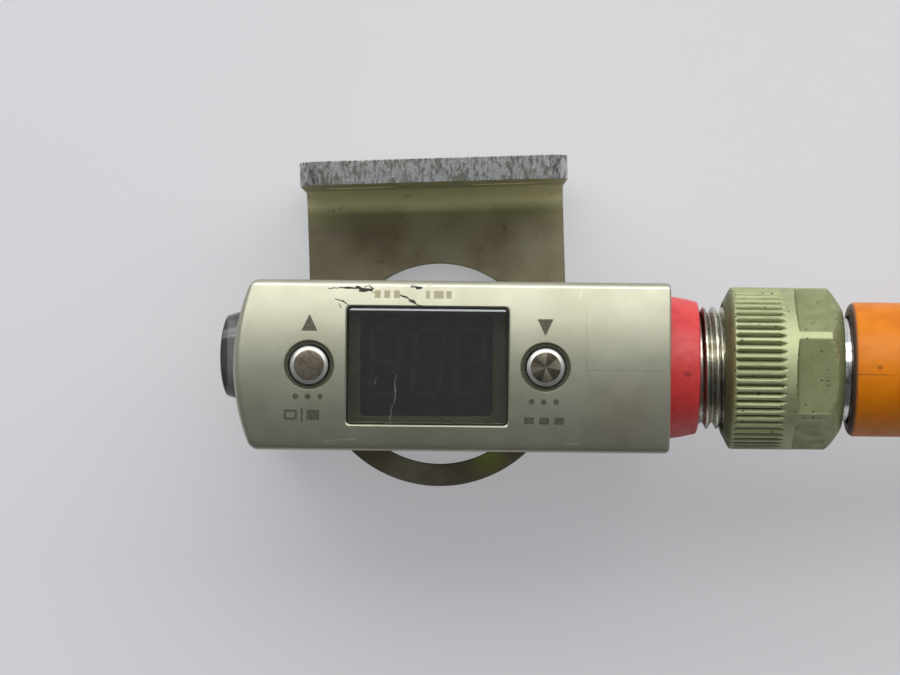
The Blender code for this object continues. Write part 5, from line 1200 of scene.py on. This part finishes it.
def bracketPlate():
    given = bracket
    half, thick, outer = given["width"] / 2, given["thickness"], given["legOuter"]
    plate = bentPlate()
    # the round end: what lies outside the circle is cut away
    roundEnd = half - given["reach"]
    profile = [(-1, half), (-1, half + 8), (thick + 1, half + 8), (thick + 1, half), (-1, half)]
    ring = spinProfile("round_end", profile, 2, (0, roundEnd, 0), 128)
    cut(ring, addBlock("front_half", (-half - 9, roundEnd, -2), (half + 9, half + 30, 6)))
    cut(plate, ring)
    hole = addRod("opening", -1, thick + 1, given["openingRadius"], 2, (0, 0, 0), 112)
    flat = given["openingFlat"]
    for x0, x1 in ((-20, -flat), (flat, 20)):
        cut(hole, addBlock("land", (x0, -20, -2), (x1, 20, 6)))
    cut(plate, hole)
    wide, tall, level = given["slotLength"] / 2, given["slotWidth"] / 2, given["slotHeight"]
    for side in (-1, 1):
        middle = side * given["slotSpacing"] / 2
        cut(plate, addSlab("slot", (middle - wide, outer - thick - 1, level - tall),
                           (middle + wide, outer + 1, level + tall), tall * 0.999, 10, axis=1))
        screw = {**cover["bracketScrew"], "length": thick + 1}
        cut(plate, screwHoleTool(side * cover["bracketScrews"], 0, 0.3, **screw))

    def legCorners(edge):
        return along(1)(edge) and min(v.co.z for v in edge.verts) > (given["legTop"] - 0.01) * mm
    bevelEdges(plate, legCorners, given["corner"], 10)
    softEdges(plate, given["edge"], 50)
    plate.data.transform(Matrix.Rotation(bracketYaw, 4, "Z"))
    return finishPiece(plate, "sensor", "bracket_steel", bracketSteel, "bracket", angle=50, even=True)


bracketPlate()
print("bracket made")


# The connector: a ring of colour at its foot and a threaded sleeve.
connector = {
    "ringLeft": 22.0, "ringRight": 25.1, "ringRadiusLeft": 7.0, "ringRadiusRight": 6.5, "ringBore": 5.55,
    "taperFullness": 0.05,
    "core": 5.35, "crest": 5.95, "pitch": 1.0, "threadStart": 25.2, "threadTurn": 0.83,
    "bore": 4.3, "flangeRadius": 6.1, "flange": 0.7, "rib": (27.5, 33.5),
}


def colourRing():
    given = connector
    left, right, bore = given["ringLeft"], given["ringRight"], given["ringBore"]
    wide, narrow = given["ringRadiusLeft"], given["ringRadiusRight"]
    points = [(left + 0.05, bore), (left, bore + 0.05), (left, wide - 0.35), (left + 0.06, wide - 0.16),
              (left + 0.2, wide - 0.04)]
    for share in [step / 9 for step in range(1, 9)]:
        radius = wide - 0.04 - (wide - narrow) * share + given["taperFullness"] * math.sin(math.pi * share)
        points.append((left + 0.2 + (right - left - 0.4) * share, radius))
    points += [(right - 0.2, narrow - 0.02), (right - 0.06, narrow - 0.12), (right, narrow - 0.3),
               (right, bore + 0.05), (right - 0.05, bore), (left + 0.05, bore)]
    ring = spinProfile("colour_ring_piece", points, 0, connectorAxis, 128)
    return finishPiece(ring, "sensor", "ring_red", ringPlastic, "colour_ring")


def threadRise(turns):
    # height of a rolled 60 degree thread at a count of turns, 1 at each whole turn's crest
    slope = limited((abs(turns - round(turns)) - 0.09) / 0.33)
    return 1 - (0.55 * slope + 0.45 * slope * slope * (3 - 2 * slope))


def threadedSleeve():
    given = connector
    left, end = [(corner.x - origin.x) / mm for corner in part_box("connector_sleeve")]
    start = given["threadStart"]
    core, bore, wide = given["core"], given["bore"], given["flangeRadius"]
    flangeRight = left + given["flange"]
    points = [(left, bore), (left, wide), (flangeRight, wide), (flangeRight, core), (start - 0.35, core)]
    count = int(round((end - start) / 0.0625))
    points += [(start - 0.3 + (end - start) * step / count, core) for step in range(count + 1)]
    points += [(end - 0.15, core), (end, core - 0.25), (end, bore + 0.15), (end - 0.15, bore), (left, bore)]
    sleeve = spinProfile("threaded_sleeve", points, 0, connectorAxis, 96)

    def threadRadius(x, turn, radius):
        if x < start - 0.31 or radius < core - 0.05:
            return None
        ends = limited((x - start + 0.1) / 0.5) * limited((end - 0.25 - x) / 0.4)
        turns = x / given["pitch"] - turn / (2 * math.pi) - given["threadTurn"]
        return core + (given["crest"] - core) * threadRise(turns) * ends
    redrawRound(sleeve, threadRadius)
    # the key rib in the bore that lets the plug in one way only
    ribLeft, ribRight = given["rib"]
    rib = addSlab("rib", (ribLeft, -0.4, axisHeight + bore - 0.4), (ribRight, 0.4, axisHeight + bore + 0.3),
                  0.12, 2, axis=0)
    cut(sleeve, rib, "UNION")
    return finishPiece(sleeve, "sensor", "sleeve_nickel", sleeveMetal, "connector_sleeve", angle=40)


colourRing()
threadedSleeve()
print("connector made")


# The coupling nut: one turned body whose skin is drawn into ribs and a hexagon.
nut = {
    "left": 27.5, "right": 39.1, "radius": 7.9, "bore": 6.1, "shoulder": 36.5, "shoulderBore": 5.15,
    "leftChamfer": (0.8, 1.6), "rightChamfer": (1.45, 1.95),
    "ribs": 60, "stepsPerRib": 8, "grooveDepth": 0.34, "grooveWidth": 0.62, "knurl": (28.38, 33.1), "runOut": 0.65,
    "flats": 14.0, "flatsStart": 34.5, "flatsTurn": 5.3, "flatsBlend": 0.35,
    "rings": [  # where the skin has its rings of vertices: (first, step, count)
        (28.63, 0.07, 2), (28.8, 0.12, 2), (29.1, 0.34, 10), (32.4, 0.14, 11), (34.0, 0.14, 1),
        (34.14, 0.08, 7), (34.8, 0.2, 1), (35.0, 0.3, 9),
    ],
}


def nutRadius(x, turn, radius):
    given = nut
    if radius < given["bore"] + 0.3:
        return None
    low, high = given["knurl"]
    # V grooves whose ends run out to a point on the right and stop short on the left
    into = limited((x - low) / 0.25) * limited((high + 0.25 - x) / given["runOut"])
    ribTurn = turn * given["ribs"] / (2 * math.pi)
    across = abs(ribTurn - round(ribTurn)) * 2  # 0 in the groove, 1 on the rib
    groove = max(0.0, 1 - across / (given["grooveWidth"] * math.sqrt(into))) if into > 0 else 0.0
    radius -= given["grooveDepth"] * into * groove
    # six flats at the right end, with a short blend where they start
    sector = math.pi / 3
    aside = turn - math.radians(given["flatsTurn"])
    aside -= round(aside / sector) * sector
    blended = max(0.0, (given["flatsStart"] - x) / given["flatsBlend"])
    if x > given["flatsStart"] - given["flatsBlend"]:
        radius = min(radius, (given["flats"] / 2 + blended * 1.2) / math.cos(aside))
    return radius


def couplingNut():
    given = nut
    left, right, outer = given["left"], given["right"], given["radius"]
    bore, shoulder, shoulderBore = given["bore"], given["shoulder"], given["shoulderBore"]
    lx, lr = given["leftChamfer"]
    rx, rr = given["rightChamfer"]
    points = [(left, bore + 0.15), (left, outer - lr), (left + 0.04, outer - lr + 0.14)]
    points += [(left + lx * share, outer - lr + lr * share) for share in (0.3, 0.5, 0.7, 0.85)]
    points += [(left + lx - 0.02, outer - 0.10), (left + lx + 0.08, outer - 0.02), (left + lx + 0.25, outer)]
    points += [(first + step * place, outer) for first, step, count in given["rings"] for place in range(count)]
    points += [(right - rx, outer - 0.02)]
    points += [(right - rx + rx * share, outer - rr * share ** 1.15)
               for share in (0.15, 0.3, 0.45, 0.6, 0.75, 0.9)]
    points += [(right - 0.03, outer - rr - 0.02), (right, outer - rr - 0.12), (right, shoulderBore + 0.12),
               (right - 0.12, shoulderBore), (shoulder, shoulderBore), (shoulder, bore), (left + 0.15, bore),
               (left, bore + 0.15)]
    piece = spinProfile("coupling_nut_piece", points, 0, connectorAxis, given["ribs"] * given["stepsPerRib"])
    redrawRound(piece, nutRadius)
    return finishPiece(piece, "nut", "nut_green", nutMetal, "coupling_nut", angle=24)


couplingNut()
print("nut made")


# The plug: its bright barrel and the moulded grip.
plug = {
    "barrelLeft": 35.3, "barrelRight": 44.0, "barrel": 5.0, "barrelBore": 4.4, "flange": 5.8, "flangeRight": 36.2,
    "gripLeft": 39.8, "gripRight": 66.4, "grip": 6.55, "shoulder": 0.7, "taper": 8.0, "gripEnd": 4.3,
    "entry": 2.4, "entryDepth": 5.0, "gripBore": 5.3, "boreEnd": 44.3,
    "mark": (39.28, 39.45),  # the fine turned ring between nut and grip
}


def plugBarrel():
    given = plug
    left, right, flangeRight = given["barrelLeft"], given["barrelRight"], given["flangeRight"]
    radius, bore, wide = given["barrel"], given["barrelBore"], given["flange"]
    markLeft, markRight = given["mark"]
    points = [
        (left, bore), (left, wide - 0.12), (left + 0.12, wide), (flangeRight - 0.12, wide),
        (flangeRight, wide - 0.12), (flangeRight, radius), (markLeft, radius), (markLeft + 0.03, radius - 0.07),
        (markRight - 0.03, radius - 0.07), (markRight, radius), (right - 0.1, radius), (right, radius - 0.1),
        (right, bore), (left, bore),
    ]
    barrel = spinProfile("plug_barrel_piece", points, 0, connectorAxis, 96)
    return finishPiece(barrel, "plug", "barrel_bright", barrelMetal, "plug_barrel")


def plugGrip():
    given = plug
    left, right, bore, boreEnd = given["gripLeft"], given["gripRight"], given["gripBore"], given["boreEnd"]
    radius, shoulder, entry = given["grip"], given["shoulder"], given["entry"]
    taper, entryEnd = right - given["taper"], right - given["entryDepth"]
    points = [(boreEnd, 0), (boreEnd, bore), (left + 0.05, bore), (left, bore + 0.05)]
    points += roundCorner((left + shoulder, radius - shoulder), shoulder, 180, 90, 8)
    points += [(taper - 0.8, radius), (taper - 0.3, radius - 0.02), (taper + 0.3, radius - 0.12)]
    points += roundCorner((right - 0.5, given["gripEnd"] - 0.5), 0.5, 80, 0, 5)
    points += [(right, entry + 0.2), (right - 0.2, entry), (entryEnd, entry), (entryEnd, 0)]
    grip = spinProfile("plug_grip_piece", points, 0, connectorAxis, 128)
    return finishPiece(grip, "plug", "grip_orange", gripPlastic, "plug_grip")


plugBarrel()
plugGrip()
print("plug made")


# Nodes that keep their CAD shape, with the finish of each slot.
keptFinishes = [
    (nitrileRubber, ["cover_gasket", "window_gasket", "up_button_seal", "down_button_seal", "indicator_gasket",
                     "sleeve_seal", "plug_seal"]),
    (solderMask, ["display_board", "indicator_board", "main_board", "receiver_board", "connector_board"]),
    (chipEpoxy, ["up_switch", "down_switch", "processor_chip", "image_sensor"]),
    (blackNylon, ["board_link", "optics_block", "connector_insert", "plug_carrier"]),
    (clearGlass, ["indicator_led"]),
    (laserCan, ["laser_diode"]),
    (goldPlate, [f"{word}_{number}" for word in ("contact_pin", "socket_contact") for number in range(1, 5)]),
]
for finish, nodes in keptFinishes:
    for node in nodes:
        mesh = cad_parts[node].data
        mesh.materials.clear()
        mesh.materials.append(finish)
print("kept nodes dressed")


# Floor, light and camera. The floor is a plain pale board.
stage = {
    "floor": "#E4E4E7", "floorCloud": "#DEDEE2", "floorSeen": "#D9D9DC", "seenShare": 0.45, "floorSize": 3.0,
    "lights": [(28, 0.17, 0.95, 2.5), (51, 0.15, 0.95, 2.35)],  # tilt, depth, length, radiance
    "distance": 0.5, "lightColour": (1.0, 0.985, 0.95),
    "skyDark": 0.10, "skyBright": 0.85, "skySpan": (-0.5, 0.95), "sky": "#E9EEF6", "backdrop": "#D6D7DA",
    "camera": (-0.0217, -0.00133, 0.3944), "cameraRoll": 0.6, "sensor": 36, "lens": 154,
}


def addFloor():
    given = stage
    bpy.ops.object.select_all(action="DESELECT")
    bpy.ops.mesh.primitive_plane_add(size=given["floorSize"], location=(0, 0, 0))
    floor = settle("studio_floor")
    material, shader, place = newMaterial("pale_board", Roughness=0.7)
    cloud = band(noiseAt(place, 40, 2.0), 0.3, 0.7, 0.0, 0.25)
    setShader(shader, Base_Color=blend(cloud, given["floor"], given["floorCloud"]))
    # the camera sees part of the board's tone by itself, so that its shadows stay pale
    glow = addNode(shader, "Emission", {"Color": given["floorSeen"]})
    seen = times(addNode(shader, "LightPath").outputs["Is Camera Ray"], given["seenShare"])
    mixed = addNode(shader, "MixShader", {0: seen, 1: shader.outputs[0], 2: glow.outputs[0]})
    feed(material.node_tree.nodes["Material Output"].inputs["Surface"], mixed.outputs[0])
    floor.data.materials.append(material)


def addLights():
    for number, (tilt, depth, length, radiance) in enumerate(stage["lights"], 1):
        angle = math.radians(tilt)
        spot = Vector((0, math.sin(angle), math.cos(angle))) * stage["distance"]
        bpy.ops.object.select_all(action="DESELECT")
        bpy.ops.object.light_add(type="AREA", location=spot, rotation=(-angle, 0, 0))
        lamp = bpy.context.active_object
        lamp.name = f"soft_light_{number}"
        lamp.data.shape = "RECTANGLE"
        lamp.data.size = length
        lamp.data.size_y = depth
        lamp.data.color = stage["lightColour"]
        lamp.data.energy = radiance * math.pi * length * depth


def addSky():
    # a pale sky, brighter toward the lights, with an even backdrop for the camera
    given = stage
    world = bpy.data.worlds.new("studio")
    bpy.context.scene.world = world
    world.use_nodes = True
    background = world.node_tree.nodes["Background"]
    sideways = axes(addNode(background, "TexCoord").outputs["Generated"])[1]
    low, high = given["skySpan"]
    strength = addNode(background, "MapRange", {0: sideways, 1: low, 2: high, 3: given["skyDark"],
                                                4: given["skyBright"]}).outputs[0]
    seen = addNode(background, "LightPath").outputs["Is Camera Ray"]
    setShader(background, Strength=blendValue(seen, strength, 1.0),
              Color=blend(seen, given["sky"], given["backdrop"]))


def addCamera():
    # a long lens straight over the display face
    bpy.ops.object.camera_add(location=stage["camera"], rotation=(0, 0, math.radians(stage["cameraRoll"])))
    camera = bpy.context.active_object
    camera.name = "photo_camera"
    camera.data.sensor_width = stage["sensor"]
    camera.data.lens = stage["lens"]
    camera.data.clip_start = 0.01
    bpy.context.scene.camera = camera


addFloor()
addLights()
addSky()
addCamera()
bpy.context.scene.view_settings.view_transform = "Standard"
print("stage set")
